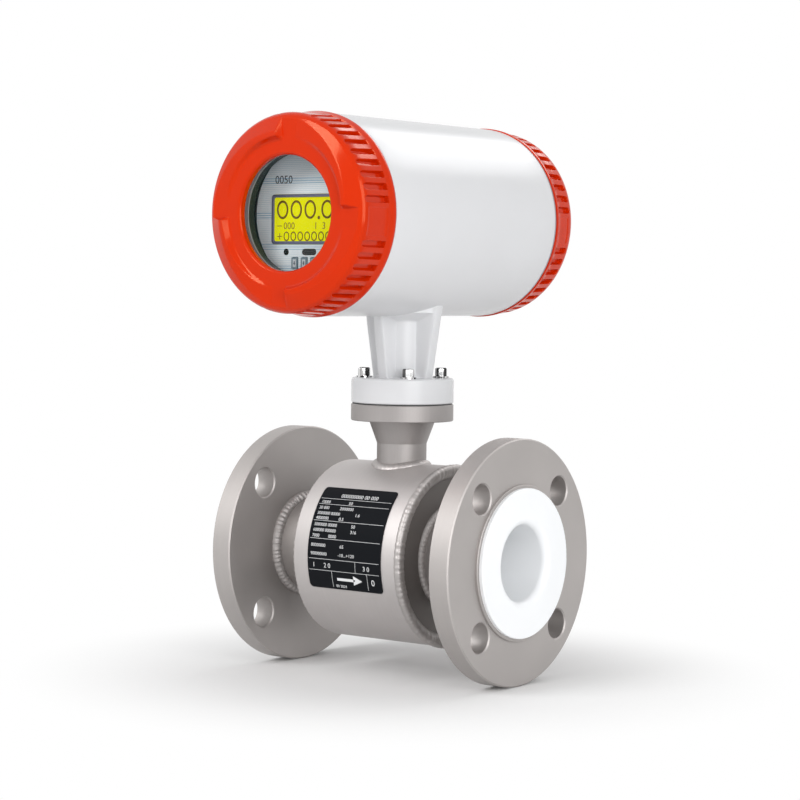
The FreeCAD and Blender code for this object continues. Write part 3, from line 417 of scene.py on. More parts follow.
orange = coated("orange red enamel", (0.57, 0.0205, 0.0002), 0.14, THIN_PEEL, 0.34, WARM_TINT)
white_coat = coated("white powder coat", (0.67, 0.675, 0.69), 0.26, SOFT_PEEL, 0.3)
ptfe = coated("white fluoroplastic", (0.90, 0.915, 0.93), 0.34, SOFT_PEEL)
retainer_metal = coated("black anodised ring", (0.010, 0.020, 0.024), 0.35, THIN_PEEL, 0.3)
gasket_grey = coated("grey gasket rubber", (0.30, 0.31, 0.33), 0.6, DEEP_PEEL)
slate = coated("slate frame", (0.13, 0.14, 0.23), 0.35)
lens_black = coated("black lens", (0.012, 0.012, 0.013), 0.12)
cup_black = coated("black moulding", (0.010, 0.020, 0.024), 0.5, GRAINY, 0.2)
board_green = coated("green board lacquer", (0.02, 0.16, 0.07), 0.3, SOFT_PEEL)
component_black = coated("black component plastic", (0.03, 0.03, 0.033), 0.45)
terminal_green = coated("green terminal plastic", (0.03, 0.30, 0.13), 0.4)
key_grey = coated("grey key plastic", (0.22, 0.31, 0.36), 0.4)
nylon = coated("light grey nylon", (0.42, 0.43, 0.45), 0.42, GRAINY)
seal_rubber = coated("black seal rubber", (0.022, 0.022, 0.022), 0.6, GRAINY)
insulator = coated("cream insulator", (0.62, 0.58, 0.48), 0.45)
plate_black = coated("black nameplate enamel", (0.007, 0.008, 0.010), 0.2, THIN_PEEL, 0.06)
print("mixed", len(bpy.data.materials), "materials so far")

# %% Faceplate and display
RULE_GROUPS = (20.5, -0.6, -19.9, -33.1)      # heights above the axis, millimetres
FINE_PITCH, RULE_PITCH = 1.15 * MM, 1.45 * MM


def faceplate_print():
    """Pale blue print with a painted shade that darkens the top, fine rules and four groups of blue lines.
    """
    paint = Paint("pale blue faceplate", (0.7, 0.8, 0.85), 0.4, 0.0, Specular_IOR_Level=0.15)
    z = paint.axes((0, 0, AXIS_Z))[2]
    # Painted shade: the top of the faceplate is coloured darker, standing in for the shade that the
    # cover's rim casts on it.
    painted_top_shade = z.over(14 * MM, 44 * MM)
    ground = paint.mix(painted_top_shade, (0.90, 0.98, 1.0), (0.78, 0.92, 1.0))
    fine = (z / FINE_PITCH).maths("FRACT").band(0.5, 0.18, 0.12)
    ground = paint.mix(fine * 0.34, ground, (0.30, 0.54, 0.68))
    lines = 0
    for centre in RULE_GROUPS:
        rule = ((z - centre * MM) / RULE_PITCH + 0.5).maths("FRACT").band(0.5, 0.13, 0.08)
        lines = rule * z.band(centre * MM, 2.1 * MM, 0.1 * MM) + lines
    paint.colour(paint.mix(lines.maths("MINIMUM", 1) * 0.8, ground, (0.10, 0.38, 0.60)))
    return paint.material


def backlit_and_painted_glow_yellow():
    """Yellow display whose emission is partly its backlight and partly painted light that brightens it
    against the shade of the display cup.
    """
    paint = Paint("yellow display", (0.50, 0.49, 0.0), 0.4, 0.0, Specular_IOR_Level=0.05)
    cloud = paint.noise(30, 2)
    glow = paint.mix(cloud, (0.62, 0.62, 0.0), (0.68, 0.69, 0.0))
    # Painted light in part: the emission also lifts the display out of the shade that the cup casts on it.
    paint.tree.links.new(glow, paint.shader.inputs["Emission Color"])
    paint.shader.inputs["Emission Strength"].default_value = 0.6
    return paint.material


faceplate_blue = faceplate_print()
lcd_yellow = backlit_and_painted_glow_yellow()

# %% [markdown]
# ## Glass and copper
# The window is a flat disc. A low alpha keeps it clear and lets the display behind it show,
# and the shader's own reflection stays on its surface.

# %% Window glass and copper
def clear_glass():
    paint = Paint("window glass", (0.02, 0.05, 0.045), 0.03)
    haze = paint.noise(30, 2)
    paint.rough(haze * 0.02 + 0.02)
    paint.shader.inputs["Alpha"].default_value = 0.06
    return paint.material


def wound_copper():
    paint = Paint("enamelled copper wire", (0.62, 0.22, 0.09), 0.35, 0.8)
    turns = paint.noise(1400, 1, (0.02, 0.02, 1))
    paint.colour(paint.mix(turns, (0.45, 0.14, 0.05), (0.72, 0.28, 0.12)))
    paint.bump(turns, 0.0002)
    return paint.material


glass = clear_glass()
copper = wound_copper()

# %% [markdown]
# ## Finishes for the construction pieces
# Pieces whose shape is already right keep it and only change their finish.

# %% Finish of each construction piece
FINISHES = {
    "measuring_tube": steel, "ptfe_lining": ptfe, "outlet_flange": steel, "inlet_flange": steel,
    "flange_welds": weld_steel, "coil_housing": shell_steel, "outlet_end_plate": painted_shade_plate_steel,
    "inlet_end_plate": painted_shade_plate_steel, "end_welds": weld_steel, "nameplate": plate_black,
    "upper_pole_shoe": soft_iron, "lower_pole_shoe": soft_iron, "upper_coil": copper, "lower_coil": copper,
    "magnetic_yoke": soft_iron, "coil_screws": screw_steel, "front_electrode": screw_steel,
    "rear_electrode": screw_steel, "front_electrode_bush": insulator, "rear_electrode_bush": insulator,
    "electrode_nuts": screw_steel, "neck_pipe": neck_steel, "neck_weld": weld_steel,
    "neck_flange": neck_steel,
    "neck_gasket": seal_rubber, "neck_washers": screw_steel, "neck_screws": screw_steel,
    "transmitter_housing": white_coat, "front_cover": orange, "front_gasket": gasket_grey,
    "window_glass": glass, "glass_gasket": gasket_grey, "glass_retainer": retainer_metal,
    "rear_cover": orange, "rear_gasket": gasket_grey, "faceplate": faceplate_blue, "display_bezel": slate,
    "lcd_module": lcd_yellow, "optical_windows": lens_black, "display_cup": cup_black,
    "display_board": board_green, "key_switches": component_black, "main_board": board_green,
    "main_board_parts": component_black, "power_board": board_green, "power_board_parts": component_black,
    "board_spacers": screw_steel, "terminal_block": terminal_green, "terminal_screws": screw_steel,
    "key_1": key_grey, "key_2": key_grey, "key_3": key_grey, "key_4": key_grey,
    "front_gland_body": nylon, "front_gland_seal": seal_rubber, "front_gland_nut": nylon,
    "rear_gland_body": nylon, "rear_gland_seal": seal_rubber, "rear_gland_nut": nylon,
}
for node_name, finish in FINISHES.items():
    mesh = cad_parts[node_name].data
    mesh.materials.clear()
    mesh.materials.append(finish)
print("finished", len(FINISHES), "construction pieces")

# %% [markdown]
# ## The screwed covers
# The two covers are castings with a ring of finger grooves round the side and, on the front one,
# four raised vanes round the window. Each vane climbs to a step that a tool or a hand can push
# against. A boolean would leave knife edges, and enamel never has those: it gathers the light in
# thin lines along every soft edge. So the cover is one sheet of rows and columns. It starts as a
# turned band, and then every vertex goes to its place on a section drawn for its own angle.

# %% Sections with soft corners
def soft_section(keys):
    """Polyline whose corners are curves; each key is (radius, height, corner size, cuts)."""
    points = []
    for i, (r, z, corner, cuts) in enumerate(keys):
        if corner == 0 or i in (0, len(keys) - 1):
            points.append((r, z))
        else:
            points += soft_corner(keys[i - 1][:2], (r, z), keys[i + 1][:2], corner, cuts)
    return points


def soft_step(low, high, value):
    """0 up to low, 1 from high, with a soft rise between."""
    t = min(max((value - low) / (high - low), 0), 1)
    return t * t * (3 - 2 * t)


def along_curve(points, height):
    """Radius at a height on a smooth curve through (height, radius) points."""
    last = len(points) - 2
    i = max(min(sum(1 for z, r in points if z <= height) - 1, last), 0)
    (z0, r0), (z1, r1) = points[i], points[i + 1]
    slope = (r1 - r0) / (z1 - z0)
    before = slope if i == 0 else (r1 - points[i - 1][1]) / (z1 - points[i - 1][0])
    after = slope if i == last else (points[i + 2][1] - r0) / (points[i + 2][0] - z0)
    t = (height - z0) / (z1 - z0)
    span = z1 - z0
    return (r0 * (1 + 2 * t) * (1 - t) ** 2 + before * span * t * (1 - t) ** 2
            + r1 * t * t * (3 - 2 * t) + after * span * t * t * (t - 1))


# %% Finger grooves
GROOVES = 10
GROOVE_PITCH = 7.2
FIRST_GROOVE = 7.6
GROOVE_HALF = 2.0 * MM
GROOVE_FLOOR = 4.3 * MM
PAD_CENTRE = -5.0
PAD_HALF = 8.0


def groove_offset(angle):
    """Degrees from the middle of the nearest groove, or None on a pad."""
    inside = (angle - FIRST_GROOVE + GROOVE_PITCH / 2) % 90
    if inside >= GROOVES * GROOVE_PITCH:
        return None
    return inside % GROOVE_PITCH - GROOVE_PITCH / 2


def grip_radius(radius, height, angle, low, high):
    """Side of the cover with its grooves and the shallow fields between the groups."""
    offset = groove_offset(angle)
    if offset is None:
        from_pad = abs((angle - PAD_CENTRE + 45) % 90 - 45)
        edge = max(from_pad - PAD_HALF, math.degrees((low + MM - height) / RIM_R),
                   math.degrees((height - high + 2 * MM) / RIM_R))
        return radius - 0.35 * MM * soft_step(0.25, -0.25, edge)
    across = abs(math.radians(offset)) * RIM_R
    past_end = height - (high - GROOVE_HALF)
    if past_end > 0:
        outside = math.hypot(across, past_end) - GROOVE_HALF
    else:
        outside = max(across - GROOVE_HALF, low - height)
    depth = soft_step(0.25 * MM, -0.45 * MM, outside)
    return radius + (min(RIM_R - GROOVE_FLOOR, radius) - radius) * depth


def side_rows(low, high, top):
    """Heights of the rows up the side, close together where a groove ends."""
    near_low = [low + step * MM for step in (-0.5, -0.25, -0.08, 0.1, 0.28, 0.5, 1.0)]
    near_high = [high + step * MM for step in
                 (-2.4, -2.0, -1.7, -1.4, -1.15, -0.9, -0.7, -0.5, -0.3, -0.1, 0.1, 0.3, 0.55)]
    count = 8
    middle = [low + 1.6 * MM + (high - low - 4.4 * MM) * i / (count - 1) for i in range(count)]
    foot = [0.5 * MM, 1.2 * MM, 2.0 * MM, 2.7 * MM]
    return sorted(z for z in foot + near_low + middle + near_high if 0.3 * MM < z < top - 0.2 * MM)


def cover_columns(extra=()):
    """Angles of one quarter: fine at each groove wall and wherever the face has an edge."""
    wall = (2.45, 2.15, 2.0, 1.85, 1.7, 1.5, 1.3, 0.8)
    angles = {0.0, 1.0, 2.0, 77.6, 79.0, 82.0, 83.5, 85.0, 86.5, 88.2, 89.2}
    for i in range(GROOVES):
        middle = FIRST_GROOVE + GROOVE_PITCH * i
        angles |= {round(middle, 3), round(middle - GROOVE_PITCH / 2, 3)}
        angles |= {round(middle + side * offset, 3) for side in (-1, 1) for offset in wall}
    for edge in (PAD_CENTRE + PAD_HALF, 90 + PAD_CENTRE - PAD_HALF):
        angles |= {edge - 0.3, edge - 0.1, edge + 0.1, edge + 0.3}
    return sorted(angles | set(extra))


print("a quarter of a cover has", len(cover_columns()), "columns")

# %% [markdown]
# The turned band only supplies the faces. Each vertex knows its row from the band's outline and
# its column from its angle, and the section for that angle says where it belongs.

# %% Placing the sheet
def sheet(name, section_at, angles, place):
    """Closed sheet of rows and columns; place turns (radius, turn, height) into a point."""
    sections = [section_at(angle) for angle in angles]
    rows = len(sections[0])
    band = [(i * MM, 0.05) for i in range(rows)]
    piece = turned(name, band, axis="Y", steps=len(angles))
    for vertex in piece.data.vertices:
        x, y, z = vertex.co
        row = round(y / MM)
        column = round((math.atan2(z, x) % math.tau) / math.tau * len(angles)) % len(angles)
        r, height = sections[column][row]
        vertex.co = place(r, math.radians(angles[column]), height)
    tidy_mesh(piece, 2e-6)
    print(name, "rows", rows, "columns", len(angles))
    return piece


def cover_sheet(name, section_at, quarter, seam, outward):
    """Sheet round the transmitter axis; the heights of its section start at the seam."""
    def place(r, turn, height):
        return (r * math.cos(turn), seam + outward * height, AXIS_Z + r * math.sin(turn))

    return sheet(name, section_at, [90 * k + a for k in range(4) for a in quarter], place)


# %% Measures that both covers share
LIP_R = 56.15 * MM      # crest of the spigot's thread
BORE_R = 50.0 * MM
SPIGOT_END = -13 * MM
THREAD_PITCH = 2.0 * MM
THREAD_START = -12.8 * MM
SPIGOT_MOUTH = (LIP_R, 0, 0, 0)
SPIGOT_FOOT = (BORE_R, SPIGOT_END, 0.3 * MM, 1)


def side_keys(angle, profile, rows, low, high):
    """Corners up the side of a cover, from the seam."""
    keys = [(RIM_R, 0, 0.35 * MM, 2)]
    for z in rows:
        keys.append((grip_radius(along_curve(profile, z), z, angle, low, high), z, 0, 0))
    return keys


# %% Front cover
FRONT_TALL = 29.0 * MM
FRONT_LOW, FRONT_HIGH = 5.6 * MM, 26.0 * MM
FRONT_SIDE = [(h * MM, RIM_R - r * MM) for r, h in
              ((0.0, 0.0), (0.0, 2.0), (0.5, 3.2), (1.2, 6.0), (1.7, 16.0), (2.1, 24.0), (2.9, 26.4),
               (4.4, 28.2))]
WINDOW_R = 35.0 * MM
WINDOW_CHAMFER = 1.3 * MM
GLASS_R, RETAINER_R = 41.55 * MM, 45.05 * MM
RING_R = 44.3 * MM
FRONT_ROWS = side_rows(FRONT_LOW, FRONT_HIGH, 27.2 * MM)
FIRST_STEP, LAST_STEP, VANE_END = 2.5, 5.0, 80      # degrees along a quarter


def vane_keys(t):
    """Corners of the face from the outer foot to the ring: t is 0 on the face and 1 at a step."""
    rise = 4.4 * MM * t
    crest = RING_R + 4.9 * MM + 7.4 * MM * (1 - t) ** 1.5
    return [(RIM_R - 5.1 * MM, FRONT_TALL - 0.5 * MM, 0.5 * MM, 3),
            ((crest + RIM_R - 5.1 * MM) / 2, FRONT_TALL + (0.9 * rise - 0.5 * MM) / 2, 0, 0),
            (crest, FRONT_TALL + 0.9 * rise, 0.7 * MM, 4),
            ((crest + RING_R + 2.1 * MM) / 2, FRONT_TALL + 0.95 * rise, 0, 0),
            (RING_R + 2.1 * MM, FRONT_TALL + rise, 0.6 * MM, 4),
            (RING_R, FRONT_TALL, 1.1 * MM, 4)]


def vane_at(angle):
    """Face corners at an angle: a long rise, then a short drop down the step."""
    from_line = angle % 90
    if from_line > VANE_END or from_line < FIRST_STEP:
        return vane_keys(0)
    if from_line >= LAST_STEP:
        return vane_keys((VANE_END - from_line) / (VANE_END - LAST_STEP))
    share = (from_line - FIRST_STEP) / (LAST_STEP - FIRST_STEP)
    mixed = []
    for a, b in zip(vane_keys(0), vane_keys(1)):
        mixed.append((a[0] + (b[0] - a[0]) * share, a[1] + (b[1] - a[1]) * share, a[2], a[3]))
    return mixed


def front_section(angle):
    """The whole front cover at one angle: side, face, window, glass pocket and spigot."""
    keys = side_keys(angle, FRONT_SIDE, FRONT_ROWS, FRONT_LOW, FRONT_HIGH)
    keys += [(along_curve(FRONT_SIDE, z * MM), z * MM, 0, 0) for z in (27.2, 28.1)]
    keys += vane_at(angle)
    glass_seat = FRONT_TALL - 4.5 * MM
    gasket_end = glass_seat - 6 * MM
    pocket_end = glass_seat - 11 * MM
    keys += [(40.5 * MM, FRONT_TALL, 0, 0), (WINDOW_R + WINDOW_CHAMFER, FRONT_TALL, 0.5 * MM, 3),
             (WINDOW_R, FRONT_TALL - WINDOW_CHAMFER, 0.5 * MM, 3), (WINDOW_R, glass_seat, 0.2 * MM, 2),
             (GLASS_R, glass_seat, 0, 0), (GLASS_R, gasket_end, 0, 0), (RETAINER_R, gasket_end, 0, 0),
             (RETAINER_R, pocket_end, 0, 0), (BORE_R, pocket_end, 0, 0), SPIGOT_FOOT]
    return soft_section([SPIGOT_MOUTH] + keys) + spigot_thread(angle)


def spigot_thread(angle):
    """Thread of the spigot: ridges that climb one pitch in a turn."""
    points = []
    for i in range(30):
        z = THREAD_START + i * 0.41 * MM
        phase = ((z / THREAD_PITCH) - angle / 360) % 1
        lead_in = soft_step(-12.9 * MM, -11.4 * MM, z)
        depth = 1.1 * MM * (1 - abs(2 * phase - 1)) * lead_in + 0.05 * MM
        fade = soft_step(-0.7 * MM, -2.2 * MM, z)
        points.append((LIP_R - depth * fade - 1.0 * MM * soft_step(-11.4 * MM, -12.9 * MM, z), z))
    return points


step_columns = (2.25, 2.5, 2.7, 3.2, 3.7, 4.2, 4.6, 4.85, 5.0, 5.2, 5.6, 79.7, 80.0, 80.3, 81.0)
front_cover = cover_sheet("front_cover_shell", front_section, cover_columns(step_columns), FRONT_SEAM, -1)
smooth(front_cover, 40)
dress(front_cover, orange, "front_cover", ["front_cover"])

# %% Rear cover
REAR_TALL = 23.5 * MM
REAR_LOW, REAR_HIGH = 3.4 * MM, 17.6 * MM
REAR_SIDE = [(h * MM, RIM_R - r * MM) for r, h in
             ((0.0, 0.0), (0.0, 2.0), (0.5, 3.0), (1.1, 5.0), (1.6, 14.0), (2.0, 19.0), (2.8, 21.0),
              (4.4, 22.8))]
REAR_ROWS = side_rows(REAR_LOW, REAR_HIGH, 21.4 * MM)


def rear_section(angle):
    """The whole rear cover at one angle: side, plain face, hollow inside and spigot."""
    keys = side_keys(angle, REAR_SIDE, REAR_ROWS, REAR_LOW, REAR_HIGH)
    keys += [(along_curve(REAR_SIDE, z * MM), z * MM, 0, 0) for z in (19.4, 20.4, 21.4, 22.2)]
    keys += [(RIM_R - 6.0 * MM, REAR_TALL, 1.0 * MM, 3)]
    keys += [(r * MM, REAR_TALL, 0, 0) for r in (50, 36, 18, 0)]
    ceiling = REAR_TALL - 6 * MM
    keys += [(0, ceiling, 0, 0), (30 * MM, ceiling, 0, 0), (46 * MM, ceiling, 1 * MM, 2),
             (BORE_R, REAR_TALL - 10 * MM, 1 * MM, 2), SPIGOT_FOOT]
    return soft_section([SPIGOT_MOUTH] + keys) + spigot_thread(angle)


rear_cover = cover_sheet("rear_cover_shell", rear_section, cover_columns(), REAR_SEAM, 1)
smooth(rear_cover, 40)
dress(rear_cover, orange, "rear_cover", ["rear_cover"])

# %% [markdown]
# ## The transmitter housing
# The case and its ribbed neck are one casting with a powder coat. The barrel is turned, with
# the thread seats bored inside. The neck is a sheet like the covers, but its rows climb along Z
# and its radius at each angle is the largest of the column, the ribs and the webs between them.
# A soft maximum blends them, which gives the fillets that a cast neck has in every corner.

# %% Neck section
BASE_Z = case_low[2]
BASE_TOP = BASE_Z + 16.1 * MM
NECK_TOP = BASE_TOP + 39.4 * MM
CASE_R = case_high[2] - AXIS_Z
BLEND = 1.1 * MM      # size of the fillets
COLUMN_R, FOOT_GROWTH = 14 * MM, 3.2 * MM
RIB_HALF = 4.35 * MM
SQUARENESS = 9      # power that turns the rib's outline from an ellipse into a box
BASE_R = 33 * MM
CORE_R = 9 * MM


def soft_max(a, b):
    """The larger of two lengths, blended where they are close."""
    mix = max(BLEND - abs(a - b), 0) / BLEND
    return max(a, b) + mix * mix * BLEND / 4


def web_radius(angle, reach):
    """Radius of the eight-sided outline that joins the ends of the ribs."""
    across = abs(math.cos(math.radians(angle)))
    up = abs(math.sin(math.radians(angle)))
    return min(reach / max(across, up), (reach + 3.05 * MM) / (across + up))


def rib_radius(from_rib, reach):
    """Radius of a flat rib with slightly soft edges, at an angle from its middle."""
    along = (abs(math.cos(from_rib)) / reach) ** SQUARENESS
    across = (abs(math.sin(from_rib)) / RIB_HALF) ** SQUARENESS
    return (along + across) ** (-1 / SQUARENESS)


def neck_radius(angle, z):
    """Outer radius of the neck between its base and the inside of the case wall."""
    from_rib = math.radians((angle + 45) % 90 - 45)
    climb = (z - BASE_TOP) / (NECK_TOP - BASE_TOP)
    reach = (21.5 + 6.5 * climb) * MM
    foot = COLUMN_R + FOOT_GROWTH * soft_step(BASE_TOP + 4 * MM, BASE_TOP, z)
    radius = soft_max(soft_max(foot, min(rib_radius(from_rib, reach), reach)), COLUMN_R - 0.1 * MM)
    opening = min((z - NECK_TOP + 4.5 * MM) / (7.0 * MM), 1)
    if opening > -0.2:
        radius = soft_max(radius, web_radius(angle, (13 + 15 * opening) * MM))
    return radius


NECK_ROWS = (0.25, 0.7, 1.3, 2.1, 3.0, 4.2, 6, 9, 12, 15, 18, 21, 24, 27, 30, 32, 33.2, 34, 34.6, 35.2,
             35.8, 36.5, 37.2, 38, 38.8, 39.6, 40.3, 40.9, 41.4, 41.9, 42.5, 43.5, 45, 48.2)


def neck_section(angle):
    """Base and neck as one line of rows; the top ends inside the wall of the case."""
    climb = [BASE_TOP + step * MM for step in NECK_ROWS]
    base = [(CORE_R, BASE_Z), (BASE_R - 0.6 * MM, BASE_Z), (BASE_R, BASE_Z + 0.6 * MM),
            (BASE_R, BASE_Z + 6 * MM)]
    rim = soft_section([(*base[-1], 0, 0), (BASE_R, BASE_TOP, 2.4 * MM, 7), (28 * MM, BASE_TOP, 0, 0)])
    start = neck_radius(angle, climb[0])
    foot = [(start + out * MM, BASE_TOP + up * MM) for out, up in ((1.2, 0.0), (0.7, 0.06), (0.3, 0.16))]
    return base + rim[1:] + foot + [(neck_radius(angle, z), z) for z in climb] + [(CORE_R, climb[-1])]


def upright(r, turn, height):
    """Point of a sheet whose rows climb along Z."""
    return (r * math.cos(turn), r * math.sin(turn), height)


neck = sheet("housing_neck", neck_section, [1.25 * i for i in range(288)], upright)

# %% Barrel
MOUTH_R, SEAT_R, ROOT_R = 57.9 * MM, 57.4 * MM, 56.5 * MM
ROOM_R = 51.5 * MM
MIDDLE_WALL = (16 * MM, 10 * MM)
FRONT_SEAT_END, REAR_SEAT_END = -75 * MM, 66 * MM
SEAT_DEPTH = 13 * MM
PLAIN_END = 20 * MM
MOUTH_EDGE = 0.8 * MM


def case_thread(z_mouth, depth, inward):
    """Rows of a thread between the mouth of the case and the end of its seat."""
    rows = []
    for i in range(int(depth / THREAD_PITCH)):
        start = z_mouth + inward * (1.2 * MM + i * THREAD_PITCH)
        rows += [(start, SEAT_R), (start + inward * 0.9 * MM, ROOT_R),
                 (start + inward * 1.1 * MM, ROOT_R)]
    return rows


case_front, case_back = case_low[1], case_high[1]
barrel_outline = soft_section([
    (case_front + PLAIN_END, CASE_R, 0, 0), (case_back - PLAIN_END, CASE_R, 0, 0),
    (case_back, CASE_R, MOUTH_EDGE, 5), (case_back, MOUTH_R, 0, 0)])
barrel_outline += case_thread(case_back, SEAT_DEPTH, -1)
barrel_outline += [
    (REAR_SEAT_END, ROOT_R), (REAR_SEAT_END - 0.5 * MM, ROOM_R),
    (MIDDLE_WALL[0], ROOM_R), (MIDDLE_WALL[0], 0), (MIDDLE_WALL[1], 0), (MIDDLE_WALL[1], ROOM_R),
    (FRONT_SEAT_END + 0.6 * MM, ROOM_R), (FRONT_SEAT_END, ROOT_R)]
barrel_outline += case_thread(case_front, SEAT_DEPTH, 1)[::-1]
barrel_outline += soft_section([
    (case_front, MOUTH_R, 0, 0), (case_front, CASE_R, MOUTH_EDGE, 5),
    (case_front + PLAIN_END, CASE_R, 0, 0)])[:-1]
barrel = turned("housing_barrel", barrel_outline, axis="Y", centre=(0, 0, AXIS_Z), steps=192)

# %% Gland bosses and the whole casting
GLAND_PLACES = (33, 65)      # along the barrel, millimetres
BOSS_ENDS = (-68 * MM, -54 * MM)
BOSS_R, BOSS_HOLE_R = 15 * MM, 9.9 * MM


def gland_boss(y):
    """Round boss with a threaded hole for one cable gland."""
    left, right = BOSS_ENDS
    outline = [(left, BOSS_HOLE_R), (left, BOSS_R), (right, BOSS_R), (right, BOSS_HOLE_R)]
    return turned("boss", rounded(outline, 0.8 * MM), axis="X", centre=(0, y, AXIS_Z), steps=72)


housing = join([neck, barrel] + [gland_boss(y * MM) for y in GLAND_PLACES], "housing_casting")
smooth(housing, 38)
dress(housing, white_coat, "meter", ["transmitter_housing"])
print("housing has", len(housing.data.polygons), "faces")

# %% [markdown]
# ## Weld beads
# The flanges, the end plates and the neck are welded by hand, and the beads show the welder's
# rhythm: a row of overlapping scales, each about three millimetres long, never quite equal. A
# bead in a corner is a turned quarter-round, and a bead on a rim rolls over the rim. Each of its
# vertices then moves away from the root of the weld by a wave that leans like a scale, plus noise.

# %% Weld maths
SCALE_LENGTH = 2.9 * MM
LEAN = 0.7      # share of a scale that climbs


def scale_wave(arc, seed):
    """Height of the overlapping scales along a bead; arc in metres."""
    drift = noise.noise(Vector((arc * 90, seed, 0))) * 0.9
    phase = (arc / SCALE_LENGTH + drift) % 1
    lean = phase / LEAN if phase < LEAN else (1 - phase) / (1 - LEAN)
    return soft_step(0, 1, lean) + 0.5 * noise.noise(Vector((arc * 260, seed, 4)))


def quarter(legs, steps=8):
    """Bulging face of a fillet weld, from one leg to the other."""
    points = []
    for i in range(steps + 1):
        t = math.radians(90 * i / steps)
        points.append((legs[0] * math.cos(t) ** 1.3, legs[1] * math.sin(t) ** 1.3))
    return points


def rippled(outline, x, radius, growth):
    """Turned bead whose vertices move away from the root of the weld, at x and radius."""
    bead = turned("bead", outline, axis="X", steps=360)
    for vertex in bead.data.vertices:
        px, py, pz = vertex.co
        away = Vector((px - x, math.hypot(py, pz) - radius))
        turn = math.atan2(pz, py)
        away *= growth(away, turn * radius)
        r = radius + away.y
        vertex.co = (x + away.x, r * math.cos(turn), r * math.sin(turn))
    return bead


# %% Beads on the rims of the drum
RIM_FACE = ((-2.2, 1.7), (-1.5, 2.35), (-0.2, 2.85), (1.2, 2.75), (2.2, 1.9), (2.8, 0.5), (2.8, -1.2),
            (2.3, -2.7), (1.4, -4.0), (0.2, -5.2), (-1.2, -6.2), (-1.9, -6.0))
RIM_ROOT = 40.0 * MM
LOW_RIM = 1.6      # millimetres: the inlet bead stays below the drum's surface


def rim_weld(side, seed):
    """Rippled bead that rolls over the rim of the drum and down to its end plate."""
    x, radius = side * RIM_ROOT, DRUM_R - 2.0 * MM
    face = RIM_FACE if side > 0 else [(a, min(r, LOW_RIM)) for a, r in RIM_FACE]

    def growth(away, arc):
        weight = max(0, away.x * side / (2.8 * MM)) + max(0, away.y / (4.0 * MM))
        return 1 + (0.15 * scale_wave(arc, seed) - 0.06) * (0.25 + weight)

    return rippled([(x + side * a * MM, radius + r * MM) for a, r in face], x, radius, growth)


# %% Beads in the corners of the pipe
TUBE_R = 30.15 * MM
FLANGE_ROOT, PLATE_ROOT = 79.0 * MM, 38.8 * MM
FLANGE_LEG, PLATE_LEG = 4.3 * MM, 3.2 * MM


def ring_weld(x, legs, seed):
    """Rippled bead round the pipe, in the corner at x."""
    corner = (x - math.copysign(0.4 * MM, legs[0]), TUBE_R - 0.4 * MM)
    outline = [corner] + [(x + a, TUBE_R + r) for a, r in quarter(legs)]

    def growth(away, arc):
        if away.length < 0.7 * MM:
            return 1
        centre = 1.1 * min(abs(away.x / legs[0]), abs(away.y / legs[1]))
        return 1 + (0.16 * scale_wave(arc, seed) - 0.04) * (0.35 + centre)

    return rippled(outline, x, TUBE_R, growth)


def weld_piece(piece, node):
    """Finish a bead that stands for a weld of the construction model."""
    smooth(piece, 60)
    dress(piece, weld_steel, "meter", [node])
    print(piece.name, "has", len(piece.data.polygons), "faces")


flange_beads = [ring_weld(side * FLANGE_ROOT, (-side * FLANGE_LEG, FLANGE_LEG), 3 + side)
                for side in (-1, 1)]
weld_piece(join(flange_beads, "flange_weld_beads"), "flange_welds")
end_beads = []
for side in (-1, 1):
    end_beads.append(rim_weld(side, 8 + side))
    end_beads.append(ring_weld(side * PLATE_ROOT, (side * PLATE_LEG, PLATE_LEG), 12 + side))
weld_piece(join(end_beads, "end_weld_beads"), "end_welds")

# %% Weld at the foot of the neck
FOOT_R = 16 * MM
FOOT_LEGS = (3.4 * MM, 2.6 * MM)
FOOT_ROOT = (-1.0 * MM, -1.0 * MM)


def foot_section(angle):
    """Section of the saddle weld: along the pipe and out over the drum."""
    turn = math.radians(angle)
    wave = 0.07 * scale_wave(turn * FOOT_R, 21) + 0.16 * noise.noise(Vector((turn * 1.7, 2, 5)))
    points = []
    for out, up in [FOOT_ROOT] + quarter(FOOT_LEGS):
        bulge = 1 + wave * (0.4 + 1.1 * min(max(out, 0), max(up, 0)) / (3.0 * MM))
        r = FOOT_R + out * bulge
        across = r * math.sin(turn)
        points.append((r, math.sqrt(DRUM_R ** 2 - across ** 2) + up * bulge))
    return points


foot_bead = sheet("neck_foot_bead", foot_section, [1.5 * i for i in range(240)], upright)
weld_piece(foot_bead, "neck_weld")

# %% [markdown]
# ## Drum shell
# The shell of the coil housing is rolled from sheet and its rims are broken with a file, so
# each rim catches a thin line of light.

# %% Drum shell
SHELL_HALF, SHELL_WALL = 42 * MM, 3.0 * MM
shell_outline = [(-SHELL_HALF, DRUM_R), (SHELL_HALF, DRUM_R), (SHELL_HALF, DRUM_R - SHELL_WALL),
                 (-SHELL_HALF, DRUM_R - SHELL_WALL)]
shell = turned("drum_shell", rounded(shell_outline, 0.7 * MM, 4), axis="X", steps=256)
smooth(shell, 40)
dress(shell, shell_steel, "meter", ["coil_housing"])
print("drum shell has", len(shell.data.polygons), "faces")

# %% [markdown]
# ## Cap screws
# The neck is held by four socket head screws. A cap screw's head is knurled for the fingers, so
# its side is a ring of fine flutes, and the hexagon socket is cut into its crown.

# %% Cap screws
FLUTES, FLUTE_DEPTH = 24, 0.11 * MM
SOCKET_HALF, SOCKET_DEPTH = 2.0 * MM, 2.6 * MM
HEAD_R, SHANK_R = 3.72 * MM, 2.5 * MM
HEAD_TALL, WASHER_TALL = 5.4 * MM, 1.0 * MM
SHANK_END = 89.5 * MM
SCREW_CIRCLE_R = 25 * MM


